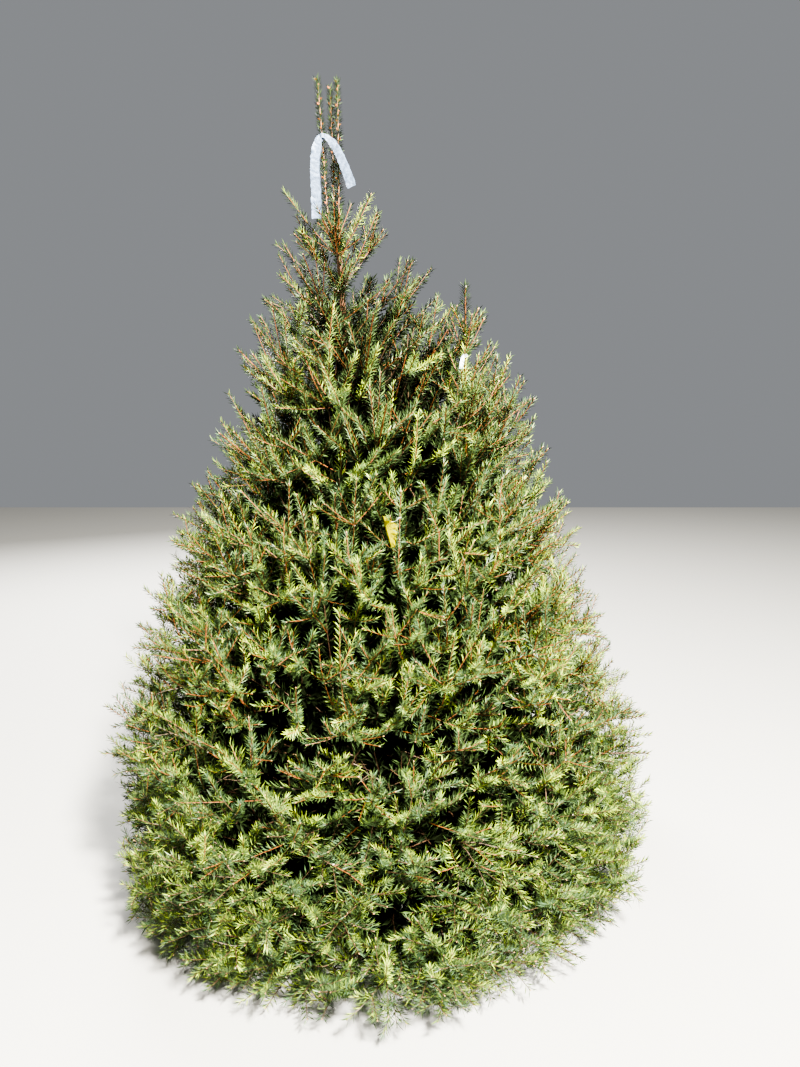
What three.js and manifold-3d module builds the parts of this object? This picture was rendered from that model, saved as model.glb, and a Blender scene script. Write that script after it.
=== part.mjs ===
// A young spruce grown in the open, sheared to a full cone and rooted in level ground.
// Millimetres, +Z up, the viewer's side is -Y. The origin is the middle of the trunk's flat
// cut at ground level. The trunk runs whole up to the fork of its leader. Whorls of limbs
// leave it at even steps, and each limb carries one mass of foliage, which keeps to its own
// sector of its own layer of the crown: a stem, twigs that end in toothed sprays of needles,
// and a smaller dense core that the sprays stand out of.

import * as THREE from "three";
import Module from "manifold-3d";
import { mergeVertices } from "three/addons/utils/BufferGeometryUtils.js";

const wasm = await Module();
wasm.setup();
const { Manifold, Mesh } = wasm;

// Trunk
const TREE_HEIGHT = 2600;
const TRUNK_HEIGHT = 2065; // where the leader forks into upright shoots
const TRUNK_FOOT_RADIUS = 41;
const TRUNK_TIP_RADIUS = 8;
const TRUNK_TAPER = 0.85;
const TRUNK_SIDES = 10;
const TRUNK_RINGS = 11;
const FLARE_OUT = 26; // how far the root flare stands out at the ground
const FLARE_HEIGHT = 75;
const FLARE_LOBES = 5;
const LEAN = 146; // how far the top stands towards -X
const LEAN_CURVE = 0.3;
const SWAY = 14;

// Crown outline: [height, radius, shift], a cone with a shoulder under a slim spire. The
// shift is how far its middle stands from the trunk's axis, towards the second leader's side
const CROWN = [
  [0, 885, 0],
  [160, 945, 20],
  [400, 930, 15],
  [640, 870, 25],
  [1150, 690, 78],
  [1620, 497, 118],
  [1830, 392, 90],
  [2060, 245, 0],
  [2330, 130, 0],
  [TREE_HEIGHT, 70, 0],
];
const CROWN_SHIFT_AZIMUTH = -0.3;
const CROWN_SWELL = 0.045; // uneven growth round the outline, as a share of the radius

// Whorls
const FIRST_WHORL = 112;
const WHORL_STEP = 264;
const MASSES_IN_WHORL = [5, 5, 5, 5, 5, 5, 3, 3];
const WHORLS_WITH_BOUGHS = 4;
const LOWEST_SLOPE = -0.06; // rise over run of a limb in the first whorl
const HIGHEST_SLOPE = 1.3; // and in the last whorl
const LAYER_BELOW = 0.36; // share of the whorl step that a layer reaches below its limbs
const FIRST_AZIMUTH = 0.43; // radians
const WHORL_TURN = 2.4; // from one whorl's first limb to the next one's
const AZIMUTH_JITTER = 0.08;
const LIMB_DRIFT = 0.05;
const LIMB_SAG = 16;

// Boughs
const BOUGH_ROOT_RADIUS = 12.5;
const BOUGH_THINNING = 1.3; // less per whorl
const BOUGH_TIP_RADIUS = 6.2;
const BOUGH_SHARE = 0.29; // of the reach, where the bough enters its mass
const BOUGH_SIDES = 5;
const BOUGH_RINGS = 2;

// Second leader: a limb that turned upright on the viewer's right
const SECOND_X = 272;
const SECOND_Y = -268;
const SECOND_START = 1085;
const SECOND_SEAT = 1400;
const SECOND_TOP = 1935;
const SECOND_ROOT_RADIUS = 13;
const SECOND_TIP_RADIUS = 8;
const SECOND_RINGS = 6;
const SECOND_BEND = 62; // height of the bend under its seat
const SECOND_SAG = 14;
const SECOND_SPACE = 165; // radius that its foliage keeps to at its foot
const SECOND_SPACE_TOP = 34;
const SECOND_WHORLS = [0.26, 0.63]; // shares of its height
const SECOND_IN_WHORL = 4;
const SECOND_RISE = [0.62, 1.02]; // radians above level
const SECOND_CORE_RADIUS = 100;
const SECOND_CORE_SHARE = 0.29; // of its height, up to the core's middle
const SECOND_TIP_TEETH = 2;

// Leader: upright shoots from the fork at the trunk's tip
const LEADER_SHOOTS = 3;
const LEADER_FORK = 26; // height of the short stem under them
const LEADER_SPREAD = 31; // how far their tips stand from the tree's axis
const LEADER_STEPS = 9; // how much lower each tip is than the one before
const LEADER_WIDTH = 62;
const LEADER_TEETH = 3;
const LEADER_AZIMUTH = 3;
const LEADER_SIDE_LEAN = 0.5;

// Foliage
const STEM_RADIUS = 5.5;
const TRUNK_STEM_RADIUS = 7;
const STEM_TIP_RADIUS = 2.6;
const STEM_SHARE = 0.64; // of the reach, where the stem ends
const TWIG_RADIUS = 3.4;
const SIDE_TWIGS = [
  { share: 0.43, angle: 0.98, lifts: [0.1] },
  { share: 0.55, angle: 0.68, lifts: [0.08, 0.72] },
]; // share of the reach along the stem, angle from the stem, lifts out of the limb's plane
const TIP_TURNS = [0, 0.34, -0.34, 0];
const TIP_LIFTS = [-0.14, 0.08, 0.02, 0.44];
const LIFT_JITTER = 0.14;
const ROLL_JITTER = 0.85;
const SPRAY_LENGTH = 255;
const SPRAY_WIDTH = 106;
const SPRAY_TEETH = 2;
const SPRAY_FLATNESS = 0.36;
const SPRAY_SLANT = 0.75; // how far a tooth leans forwards, as a share of its length
const SPRAY_RIB = 0.14; // of the width, between the teeth
const SHORTEST_SPRAY = 80;
const RAISED_REACH = 520; // a shorter mass has no raised pair
const LONGEST_SIDE = 680;
const LONGEST_TIP = 480;
const SPRAY_SHARE = 0.42; // longest spray as a share of the reach

// Cores
const CORE_FROM = 0.32; // shares of the reach between which the core lies
const CORE_TO = 0.84;
const CORE_SECTOR = 0.82; // share of the sector's width
const CORE_BELOW = 80;
const CORE_ABOVE = 146;
const CORE_LUMPS = 0.08;
const CORE_SQUARENESS = 3; // 2 is an ellipsoid

// Clearances
const CLEAR = 0.3; // between neighbouring pieces
const CELL_MARGIN = 5; // between foliage and the edge of its space
const GROUND_MARGIN = 12;
const SEED = 7.31;

const BARK = new THREE.MeshStandardMaterial({ color: 0x6f5a49, roughness: 0.9, metalness: 0 });
const LIMB_BARK = new THREE.MeshStandardMaterial({ color: 0x8a6446, roughness: 0.85, metalness: 0 });
const FOLIAGE = new THREE.MeshStandardMaterial({ color: 0x4d6b3c, roughness: 0.6, metalness: 0 });

const { sin, cos, hypot, atan2, PI } = Math;
const TURN = 2 * PI;
const UP = new THREE.Vector3(0, 0, 1);
const VIEWER = new THREE.Vector3(0, -1, 0);
const mix = (a, b, t) => a + (b - a) * t;
const vec = (x, y, z) => new THREE.Vector3(x, y, z);
const cross = (a, b) => new THREE.Vector3().crossVectors(a, b).normalize();
const outwards = (azimuth) => vec(cos(azimuth), sin(azimuth), 0);

// A fixed number from 0 to 1 for each set of keys.
function chance(...keys) {
  const weights = [12.9898, 78.233, 37.719, 4.581];
  const sum = keys.reduce((total, key, n) => total + (key + 1) * weights[n], SEED);
  const wave = sin(sum) * 43758.5453;
  return wave - Math.floor(wave);
}
const jitter = (...keys) => 2 * chance(...keys) - 1;

// The tree's axis, and the crown's layers round it.
// A limb that leaves the axis at height u rises by slope(u) for each unit it runs outwards,
// so every point of the crown belongs to one u, one azimuth and one run from the axis.
const LAST_WHORL = MASSES_IN_WHORL.length - 1;
const SLOPE_GAIN = (HIGHEST_SLOPE - LOWEST_SLOPE) / (LAST_WHORL * WHORL_STEP);
const SLOPE_AT_GROUND = LOWEST_SLOPE - SLOPE_GAIN * FIRST_WHORL;
const whorlHeight = (whorl) => FIRST_WHORL + whorl * WHORL_STEP;
const slope = (u) => SLOPE_AT_GROUND + SLOPE_GAIN * u;

function axisAt(z) {
  const t = Math.max(z, 0) / TREE_HEIGHT;
  return vec(-LEAN * t * (1 + LEAN_CURVE * (1 - t)), SWAY * sin(PI * t), z);
}

function place(run, azimuth, u) {
  return axisAt(u + slope(u) * run).addScaledVector(outwards(azimuth), run);
}

function locate(p) {
  const axis = axisAt(p.z);
  const run = hypot(p.x - axis.x, p.y - axis.y);
  return {
    run,
    azimuth: atan2(p.y - axis.y, p.x - axis.x),
    u: (p.z - SLOPE_AT_GROUND * run) / (1 + SLOPE_GAIN * run),
  };
}

function crownRadius(z, azimuth) {
  const above = CROWN.findIndex(([height]) => height >= z);
  if (above < 0) return 0;
  if (above === 0) return CROWN[0][1];
  const [z0, r0, shift0] = CROWN[above - 1];
  const [z1, r1, shift1] = CROWN[above];
  const t = (z - z0) / (z1 - z0);
  const swell = 0.6 * sin(3 * azimuth + z / 290) + 0.4 * sin(7 * azimuth - z / 170);
  const shift = mix(shift0, shift1, t) * cos(azimuth - CROWN_SHIFT_AZIMUTH);
  return mix(r0, r1, t) * (1 + CROWN_SWELL * swell) + shift;
}

// How far a limb from height u runs before it leaves the crown.
function reachAt(azimuth, u) {
  let run = 0;
  while (run < crownRadius(Math.max(u + slope(u) * run, 0), azimuth)) run += 4;
  return run;
}

// A closed solid from a geometry: its shared corners are merged and its faces turned outwards.
function solidOf(geometry) {
  geometry.deleteAttribute("normal");
  geometry.deleteAttribute("uv");
  const merged = mergeVertices(geometry, 1e-4);
  const vertProperties = merged.attributes.position.array;
  const triVerts = new Uint32Array(merged.index.array);
  const solid = new Manifold(new Mesh({ numProp: 3, vertProperties, triVerts }));
  if (solid.volume() >= 0) return solid;
  for (let i = 0; i < triVerts.length; i += 3) {
    [triVerts[i], triVerts[i + 1]] = [triVerts[i + 1], triVerts[i]];
  }
  return new Manifold(new Mesh({ numProp: 3, vertProperties, triVerts }));
}

// The largest body of a solid as a named mesh: scraps are dropped and sealed hollows filled.
function meshOf(solid, name, material) {
  const largest = solid.decompose().sort((a, b) => b.volume() - a.volume())[0];
  const made = largest.getMesh();
  const points = new Float32Array(made.numVert * 3);
  for (let i = 0; i < made.numVert; i += 1) {
    const start = i * made.numProp;
    points.set(made.vertProperties.subarray(start, start + 3), i * 3);
  }
  const geometry = new THREE.BufferGeometry();
  geometry.setAttribute("position", new THREE.BufferAttribute(points, 3));
  geometry.setIndex(new THREE.BufferAttribute(new Uint32Array(made.triVerts), 1));
  geometry.computeVertexNormals();
  const mesh = new THREE.Mesh(geometry, material);
  mesh.name = name;
  return mesh;
}

// A cylinder laid along a line, its rings set square to the line. Where a face is given it is
// a blade: flattened, its wide rings lean forwards, and it runs out to a point.
function alongLine(lineAt, radiusAt, { sides, rings, face = null, flat = 1, slant = 0 }) {
  const geometry = new THREE.CylinderGeometry(face ? 0 : 1, 1, 1, sides, rings);
  const position = geometry.getAttribute("position");
  const frames = [];
  for (let ring = 0; ring <= rings; ring += 1) {
    const t = ring / rings;
    const ahead = lineAt(Math.min(t + 0.01, 1)).sub(lineAt(Math.max(t - 0.01, 0))).normalize();
    const upright = Math.abs(ahead.z) > 0.9 ? vec(1, 0, 0) : UP;
    const across = cross(face ?? upright, ahead);
    frames.push({ t, middle: lineAt(t), ahead, across, over: cross(ahead, across) });
  }
  for (let i = 0; i < position.count; i += 1) {
    const [x, y, z] = [position.getX(i), position.getY(i), position.getZ(i)];
    const { t, middle, ahead, across, over } = frames[Math.round((y + 0.5) * rings)];
    const angle = atan2(z, x);
    const radius = hypot(x, z) > 1e-6 ? radiusAt(t, angle) : 0;
    const p = middle
      .clone()
      .addScaledVector(across, -radius * cos(angle))
      .addScaledVector(over, radius * sin(angle) * flat)
      .addScaledVector(ahead, radius * slant);
    position.setXYZ(i, p.x, p.y, p.z);
  }
  return solidOf(geometry);
}

// The trunk, with a lobed root flare. A fatter one cuts each limb's root clear of it.
function trunkSolid(extra) {
  const heightAt = (t) => TRUNK_HEIGHT * t ** 1.6; // rings lie closer near the flare
  const radiusAt = (t, angle) => {
    const z = heightAt(t);
    const taper = mix(TRUNK_FOOT_RADIUS, TRUNK_TIP_RADIUS, (z / TRUNK_HEIGHT) ** TRUNK_TAPER);
    const flare = FLARE_OUT * Math.exp((-3 * z) / FLARE_HEIGHT);
    return taper + flare * (0.7 + 0.3 * cos(FLARE_LOBES * angle)) + extra;
  };
  const shape = { sides: TRUNK_SIDES, rings: TRUNK_RINGS };
  const whole = alongLine((t) => axisAt(heightAt(t)), radiusAt, shape);
  return whole.trimByPlane([0, 0, 1], 0).trimByPlane([0, 0, -1], -TRUNK_HEIGHT);
}

// The second leader: a limb that bends upright, and a narrow space round its foliage.
const secondFoot = vec(SECOND_X, SECOND_Y, SECOND_SEAT);
const secondCurve = new THREE.CatmullRomCurve3([
  axisAt(SECOND_START),
  axisAt(SECOND_START).lerp(secondFoot, 0.5).add(vec(0, 0, -SECOND_SAG)),
  secondFoot.clone().multiplyScalar(0.94).setZ(SECOND_SEAT - SECOND_BEND),
  secondFoot,
]);
const secondLine = secondCurve.getPoints(30);

function secondSpace(z) {
  const t = Math.max(0, (z - SECOND_SEAT) / (SECOND_TOP - SECOND_SEAT));
  return t > 1 ? 0 : mix(SECOND_SPACE, SECOND_SPACE_TOP, t ** 1.5);
}

function clearOfSecond(p, margin) {
  const run = hypot(p.x - SECOND_X, p.y - SECOND_Y);
  const inSpace = p.z > SECOND_SEAT && run < secondSpace(p.z) + margin;
  return !inSpace && secondLine.every((q) => q.distanceTo(p) > SECOND_ROOT_RADIUS + margin);
}

// The masses of the whorls, and which stretch of height and azimuth each one keeps to. Below
// the second leader every other whorl is turned by half a sector, and above it they stand so
// that it rises between two sectors.
function whorlMasses() {
  return MASSES_IN_WHORL.flatMap((count, whorl) => {
    const height = whorlHeight(whorl);
    const stagger = height < SECOND_START && whorl % 2 === 1 ? PI / count : 0;
    const start = FIRST_AZIMUTH + WHORL_TURN * whorl + stagger;
    const azimuths = Array.from(
      { length: count },
      (_, k) => start + (TURN * k) / count + AZIMUTH_JITTER * jitter(whorl, k),
    );
    return azimuths.map((azimuth, k) => {
      const before = k ? azimuths[k - 1] : azimuths[count - 1] - TURN;
      const after = k < count - 1 ? azimuths[k + 1] : azimuths[0] + TURN;
      const top = height + (1 - LAYER_BELOW) * WHORL_STEP;
      return {
        whorl,
        azimuth,
        name: `w${whorl + 1}_${"abcde"[k]}`,
        height,
        left: (after - azimuth) / 2,
        right: (azimuth - before) / 2,
        low: whorl ? height - LAYER_BELOW * WHORL_STEP : -WHORL_STEP,
        high: whorl < LAST_WHORL ? top : TRUNK_HEIGHT - 4 * CELL_MARGIN,
        reach: reachAt(azimuth, height),
        key: whorl * 5 + k,
      };
    });
  });
}

function turnFrom(mass, azimuth) {
  return ((((azimuth - mass.azimuth + PI) % TURN) + TURN) % TURN) - PI;
}

function insideSector(mass, p) {
  const { run, azimuth, u } = locate(p);
  if (p.z < GROUND_MARGIN || run > crownRadius(p.z, azimuth)) return false;
  if (u < mass.low + CELL_MARGIN || u > mass.high - CELL_MARGIN) return false;
  const turn = turnFrom(mass, azimuth);
  const toEdge = turn > 0 ? run * sin(mass.left - turn) : run * sin(mass.right + turn);
  return toEdge > CELL_MARGIN && clearOfSecond(p, CELL_MARGIN);
}

function insideSecondSpace(p) {
  const run = hypot(p.x - SECOND_X, p.y - SECOND_Y);
  return p.z > SECOND_SEAT + CELL_MARGIN && p.z < SECOND_TOP && run < secondSpace(p.z);
}

function insideLeaderSpace(p) {
  const { run, azimuth, u } = locate(p);
  return u > TRUNK_HEIGHT - CELL_MARGIN && run < crownRadius(p.z, azimuth);
}

// The line of a mass's limb, from the trunk's axis at run 0 out to its tip.
function limbPoint(mass, run) {
  const bow = sin((PI * run) / mass.reach);
  const p = place(run, mass.azimuth + LIMB_DRIFT * jitter(mass.key, 1) * bow, mass.height);
  p.z -= LIMB_SAG * bow;
  return p;
}

// A shoot: a bare twig that widens into a spray, a ridged blade with teeth down both sides.
function shootSolid({ base, aim, face, bare = 0, spray, width, teeth }) {
  const toothRings = 2 * teeth;
  const twigRings = bare > 0 ? 1 : 0;
  const rings = toothRings + twigRings;
  const lineAt = (t) => {
    const ring = t * rings - twigRings;
    const run = ring < 0 ? bare * (ring + 1) : bare + (spray * ring) / toothRings;
    return base.clone().addScaledVector(aim, run);
  };
  const radiusAt = (t, angle) => {
    const ring = Math.round(t * rings) - twigRings;
    if (ring < 0) return TWIG_RADIUS;
    const share = ring / toothRings;
    const isTooth = ring % 2 === 1 && sin(angle) < 0.5;
    if (isTooth) return (width / 2) * sin(PI * mix(0.36, 0.86, share));
    return width * SPRAY_RIB * (1 - 0.5 * share);
  };
  const shape = { sides: 3, rings, face, flat: SPRAY_FLATNESS, slant: SPRAY_SLANT };
  return alongLine(lineAt, radiusAt, shape);
}

// How far a shoot may run from a point before it would leave its mass's space.
function freeLength(isInside, base, aim, across, most) {
  const step = 10;
  let length = 0;
  for (let run = 2 * step; run <= most; run += step) {
    const spread = SPRAY_WIDTH * (run < SPRAY_LENGTH / 2 ? 0.1 : 0.3);
    const middle = base.clone().addScaledVector(aim, run);
    const isFree = [0, 1, -1].every((hand) =>
      isInside(middle.clone().addScaledVector(across, hand * spread)),
    );
    if (!isFree) break;
    length = run;
  }
  return length;
}

function growShoot(isInside, isSunk, { base, aim, normal, most, keys, longest = SPRAY_LENGTH }) {
  const roll = ROLL_JITTER * jitter(...keys);
  const face = normal.clone().multiplyScalar(cos(roll)).addScaledVector(cross(normal, aim), sin(roll));
  const length = freeLength(isInside, base, aim, cross(face, aim), most);
  if (length < SHORTEST_SPRAY) return [];
  const spray = Math.min(length, longest * (0.92 + 0.16 * chance(...keys)));
  const width = SPRAY_WIDTH * Math.min(1, 0.45 + (0.55 * spray) / SPRAY_LENGTH);
  const root = base.clone().addScaledVector(aim, length - spray);
  const shape = { aim, face, spray, width, teeth: SPRAY_TEETH };
  if (isSunk(root) || length - spray < TWIG_RADIUS) return [shootSolid({ base: root, ...shape })];
  return [shootSolid({ base, bare: length - spray, ...shape })];
}

// The dense middle of a mass: a rounded block that follows the layer and the crown's outline.
function insideCore(mass, p) {
  const { run, azimuth, u } = locate(p);
  const turn = turnFrom(mass, azimuth);
  const x = (2 * (run / reachAt(azimuth, u) - CORE_FROM)) / (CORE_TO - CORE_FROM) - 1;
  const y = (u - mass.height) / (u > mass.height ? CORE_ABOVE : CORE_BELOW);
  const z = turn / (CORE_SECTOR * (turn > 0 ? mass.left : mass.right));
  return [x, y, z].every((v) => Math.abs(v) < 0.5);
}

function coreSolid(mass) {
  const geometry = new THREE.SphereGeometry(1, 8, 4);
  const position = geometry.getAttribute("position");
  for (let i = 0; i < position.count; i += 1) {
    const raw = [position.getX(i), position.getY(i), position.getZ(i)];
    const norm = raw.reduce((sum, v) => sum + Math.abs(v) ** CORE_SQUARENESS, 0);
    const [x, y, z] = raw.map((v) => v / norm ** (1 / CORE_SQUARENESS));
    const lump = 1 - CORE_LUMPS * (1 + sin(5 * x + mass.key) * cos(4 * z - mass.key));
    const azimuth = mass.azimuth + z * lump * CORE_SECTOR * (z > 0 ? mass.left : mass.right);
    const height = mass.height + y * lump * (y > 0 ? CORE_ABOVE : CORE_BELOW);
    const u = Math.min(height, mass.high - 3 * CELL_MARGIN);
    const share = mix(CORE_FROM, CORE_TO, (1 + x * lump) / 2);
    const p = place(share * reachAt(azimuth, u), azimuth, u);
    p.z = Math.max(p.z, GROUND_MARGIN);
    position.setXYZ(i, p.x, p.y, p.z);
  }
  return solidOf(geometry);
}

function massSolid(mass, start) {
  const isInside = (p) => insideSector(mass, p);
  const isSunk = (p) => insideCore(mass, p);
  const longest = Math.min(SPRAY_LENGTH, mass.reach * SPRAY_SHARE);
  const end = mass.reach * STEM_SHARE;
  const thick = start > 0 ? STEM_RADIUS : TRUNK_STEM_RADIUS;
  const stem = alongLine(
    (t) => limbPoint(mass, mix(start, end, t)),
    (t) => mix(thick, STEM_TIP_RADIUS, t),
    { sides: 3, rings: 3 },
  );
  const frameAt = (run) => {
    const base = limbPoint(mass, run);
    const ahead = limbPoint(mass, run + 5).sub(base).normalize();
    const side = vec(-sin(mass.azimuth), cos(mass.azimuth), 0);
    const normal = cross(ahead, side);
    return { base, ahead, normal, side: cross(normal, ahead) };
  };
  const shoots = SIDE_TWIGS.flatMap(({ share, angle, lifts }, n) => {
    const { base, ahead, normal, side } = frameAt(share * mass.reach);
    const rows = mass.reach > RAISED_REACH ? lifts : lifts.slice(0, 1);
    return rows.flatMap((lift, row) =>
      [1, -1].flatMap((hand) => {
        const keys = [mass.key, n, hand + 1, row];
        const raised = lift + LIFT_JITTER * jitter(...keys);
        const aim = ahead
          .clone()
          .multiplyScalar(cos(angle))
          .addScaledVector(side, hand * sin(angle) * cos(raised))
          .addScaledVector(normal, sin(angle) * sin(raised));
        return growShoot(isInside, isSunk, { base, aim, normal, most: LONGEST_SIDE, keys, longest });
      }),
    );
  });
  const { base, ahead, normal, side } = frameAt(end - TWIG_RADIUS);
  const tips = TIP_LIFTS.flatMap((lift, n) => {
    const turn = TIP_TURNS[n];
    const aim = ahead
      .clone()
      .multiplyScalar(cos(turn) * cos(lift))
      .addScaledVector(side, sin(turn) * cos(lift))
      .addScaledVector(normal, sin(lift));
    const keys = [mass.key, n, 7];
    return growShoot(isInside, isSunk, { base, aim, normal, most: LONGEST_TIP, keys, longest });
  });
  const core = coreSolid(mass).subtract(aroundSecond);
  return Manifold.union([stem, core, ...shoots, ...tips]).subtract(aroundTrunk);
}

const isOnStem = () => false;

// The second leader's mass: an upright stem with whorls of rising sprays round a slim core.
function secondMassSolid() {
  const height = SECOND_TOP - SECOND_SEAT;
  const at = (share) => secondFoot.clone().add(vec(0, 0, CLEAR + share * height));
  const lastShare = SECOND_WHORLS[SECOND_WHORLS.length - 1];
  const stem = alongLine(
    (t) => at(t * lastShare),
    (t) => mix(STEM_RADIUS, STEM_TIP_RADIUS, t),
    { sides: 3, rings: 1 },
  );
  const core = new THREE.SphereGeometry(1, 8, 4);
  core.rotateX(PI / 2);
  core.scale(SECOND_CORE_RADIUS, SECOND_CORE_RADIUS, height * (SECOND_CORE_SHARE - 0.02));
  core.translate(...at(SECOND_CORE_SHARE).toArray());
  const shoots = SECOND_WHORLS.flatMap((share, whorl) =>
    Array.from({ length: SECOND_IN_WHORL }).flatMap((_, k) => {
      const keys = [whorl, k, 9];
      const azimuth = (TURN * (k + 0.5 * whorl)) / SECOND_IN_WHORL + 0.2 * jitter(...keys);
      const rise = SECOND_RISE[whorl];
      const aim = outwards(azimuth).multiplyScalar(cos(rise)).addScaledVector(UP, sin(rise));
      const normal = outwards(azimuth).multiplyScalar(-sin(rise)).addScaledVector(UP, cos(rise));
      const shape = { base: at(share), aim, normal, most: SPRAY_LENGTH, keys };
      return growShoot(insideSecondSpace, isOnStem, shape);
    }),
  );
  const tip = shootSolid({
    base: at(lastShare - 0.01),
    aim: UP,
    face: VIEWER,
    spray: height * (1.01 - lastShare),
    width: SPRAY_WIDTH / 2,
    teeth: SECOND_TIP_TEETH,
  });
  return Manifold.union([stem, solidOf(core), tip, ...shoots]);
}

// The leader's mass: a short stem on the trunk's tip that forks into long upright shoots, with
// shorter ones that rise between them.
function leaderSolid() {
  const foot = axisAt(TRUNK_HEIGHT).add(vec(0, 0, CLEAR));
  const fork = foot.clone().add(vec(0, 0, LEADER_FORK));
  const stem = alongLine(
    (t) => foot.clone().lerp(fork, t),
    () => TRUNK_STEM_RADIUS,
    { sides: 5, rings: 1 },
  );
  const base = foot.clone().lerp(fork, 0.6);
  const shoots = Array.from({ length: LEADER_SHOOTS }).flatMap((_, k) => {
    const azimuth = LEADER_AZIMUTH + (TURN * k) / LEADER_SHOOTS;
    const tip = axisAt(TREE_HEIGHT).addScaledVector(outwards(azimuth), LEADER_SPREAD);
    tip.z -= LEADER_STEPS * k;
    const long = shootSolid({
      base,
      aim: tip.clone().sub(base).normalize(),
      face: outwards(azimuth).negate(),
      spray: tip.distanceTo(base),
      width: LEADER_WIDTH,
      teeth: LEADER_TEETH,
    });
    const between = outwards(azimuth + PI / LEADER_SHOOTS);
    const aim = between.clone().multiplyScalar(LEADER_SIDE_LEAN).add(UP).normalize();
    const normal = UP.clone().multiplyScalar(LEADER_SIDE_LEAN).sub(between).normalize();
    const keys = [k, 2, 11];
    const shape = { base, aim, normal, most: SPRAY_LENGTH, keys };
    return [long, ...growShoot(insideLeaderSpace, isOnStem, shape)];
  });
  return Manifold.union([stem, ...shoots]);
}

const secondLimb = (extra) =>
  alongLine(
    (t) => secondCurve.getPoint(t),
    (t) => mix(SECOND_ROOT_RADIUS, SECOND_TIP_RADIUS, t) + extra,
    { sides: BOUGH_SIDES, rings: SECOND_RINGS },
  ).trimByPlane([0, 0, -1], -SECOND_SEAT);
const secondColumn = alongLine(
  (t) => secondFoot.clone().setZ(mix(SECOND_SEAT - CELL_MARGIN, SECOND_TOP, t)),
  (t) => secondSpace(mix(SECOND_SEAT, SECOND_TOP, t)) + CELL_MARGIN,
  { sides: 8, rings: 4 },
);
const aroundTrunk = trunkSolid(CLEAR);
const aroundSecond = secondLimb(CELL_MARGIN).add(secondColumn);

const tree = new THREE.Group();
tree.add(meshOf(trunkSolid(0), "trunk", BARK));

for (const mass of whorlMasses()) {
  let start = 0;
  if (mass.whorl < WHORLS_WITH_BOUGHS) {
    const seat = mass.reach * BOUGH_SHARE;
    const root = BOUGH_ROOT_RADIUS - BOUGH_THINNING * mass.whorl;
    const bough = alongLine(
      (t) => limbPoint(mass, seat * t),
      (t) => mix(root, BOUGH_TIP_RADIUS, t),
      { sides: BOUGH_SIDES, rings: BOUGH_RINGS },
    );
    tree.add(meshOf(bough.subtract(aroundTrunk), `bough_${mass.name}`, LIMB_BARK));
    start = seat + CLEAR;
  }
  tree.add(meshOf(massSolid(mass, start), `foliage_${mass.name}`, FOLIAGE));
}

tree.add(meshOf(secondLimb(0).subtract(aroundTrunk), "bough_second_leader", LIMB_BARK));
tree.add(meshOf(secondMassSolid(), "foliage_second_leader", FOLIAGE));
tree.add(meshOf(leaderSolid(), "foliage_leader", FOLIAGE));

export default tree;
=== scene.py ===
# A young spruce with its needles, twigs, bark and field marks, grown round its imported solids.
# Metres, +Z up, the viewer's side is -Y.

from functools import lru_cache
from math import cos, hypot, pi, radians, sin

import bpy
import numpy as np
from bpy.props import FloatProperty, FloatVectorProperty, PointerProperty
from mathutils import Matrix, Vector
from mathutils.kdtree import KDTree


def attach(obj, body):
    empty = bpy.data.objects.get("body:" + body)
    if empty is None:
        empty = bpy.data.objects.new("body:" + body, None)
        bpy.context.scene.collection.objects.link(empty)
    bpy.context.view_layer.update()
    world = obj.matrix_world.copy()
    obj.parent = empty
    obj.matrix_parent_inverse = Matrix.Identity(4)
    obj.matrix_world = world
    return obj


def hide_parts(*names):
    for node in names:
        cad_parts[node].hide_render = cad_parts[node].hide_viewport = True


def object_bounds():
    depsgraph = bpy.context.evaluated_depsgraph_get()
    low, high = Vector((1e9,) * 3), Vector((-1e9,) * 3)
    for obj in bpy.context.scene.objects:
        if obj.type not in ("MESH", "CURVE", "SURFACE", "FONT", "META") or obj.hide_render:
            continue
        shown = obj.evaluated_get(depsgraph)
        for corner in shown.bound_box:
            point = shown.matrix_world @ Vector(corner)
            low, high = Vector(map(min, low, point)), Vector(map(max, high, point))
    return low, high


bl_info = {
    "name": "Young Spruce",
    "version": (1, 0, 0),
    "blender": (4, 5, 0),
    "location": "View3D > Sidebar > Spruce",
    "description": "Grows the twigs, needles and bark of a young spruce round its solids",
    "category": "Object",
}

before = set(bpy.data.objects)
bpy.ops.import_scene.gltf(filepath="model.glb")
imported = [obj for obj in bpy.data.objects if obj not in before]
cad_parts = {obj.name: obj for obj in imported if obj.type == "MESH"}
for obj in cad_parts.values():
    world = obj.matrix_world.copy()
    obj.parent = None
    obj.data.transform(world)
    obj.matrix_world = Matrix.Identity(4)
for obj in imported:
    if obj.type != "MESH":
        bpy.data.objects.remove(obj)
CAD_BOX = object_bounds()
NODES = sorted(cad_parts)
FOLIAGE_NODES = [name for name in NODES if name.startswith("foliage_")]
BOUGH_NODES = [name for name in NODES if name.startswith("bough_")]

TURN = 2 * pi
UP = np.array([0.0, 0.0, 1.0])
VIEWER = np.array([0.0, -1.0, 0.0])

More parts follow.
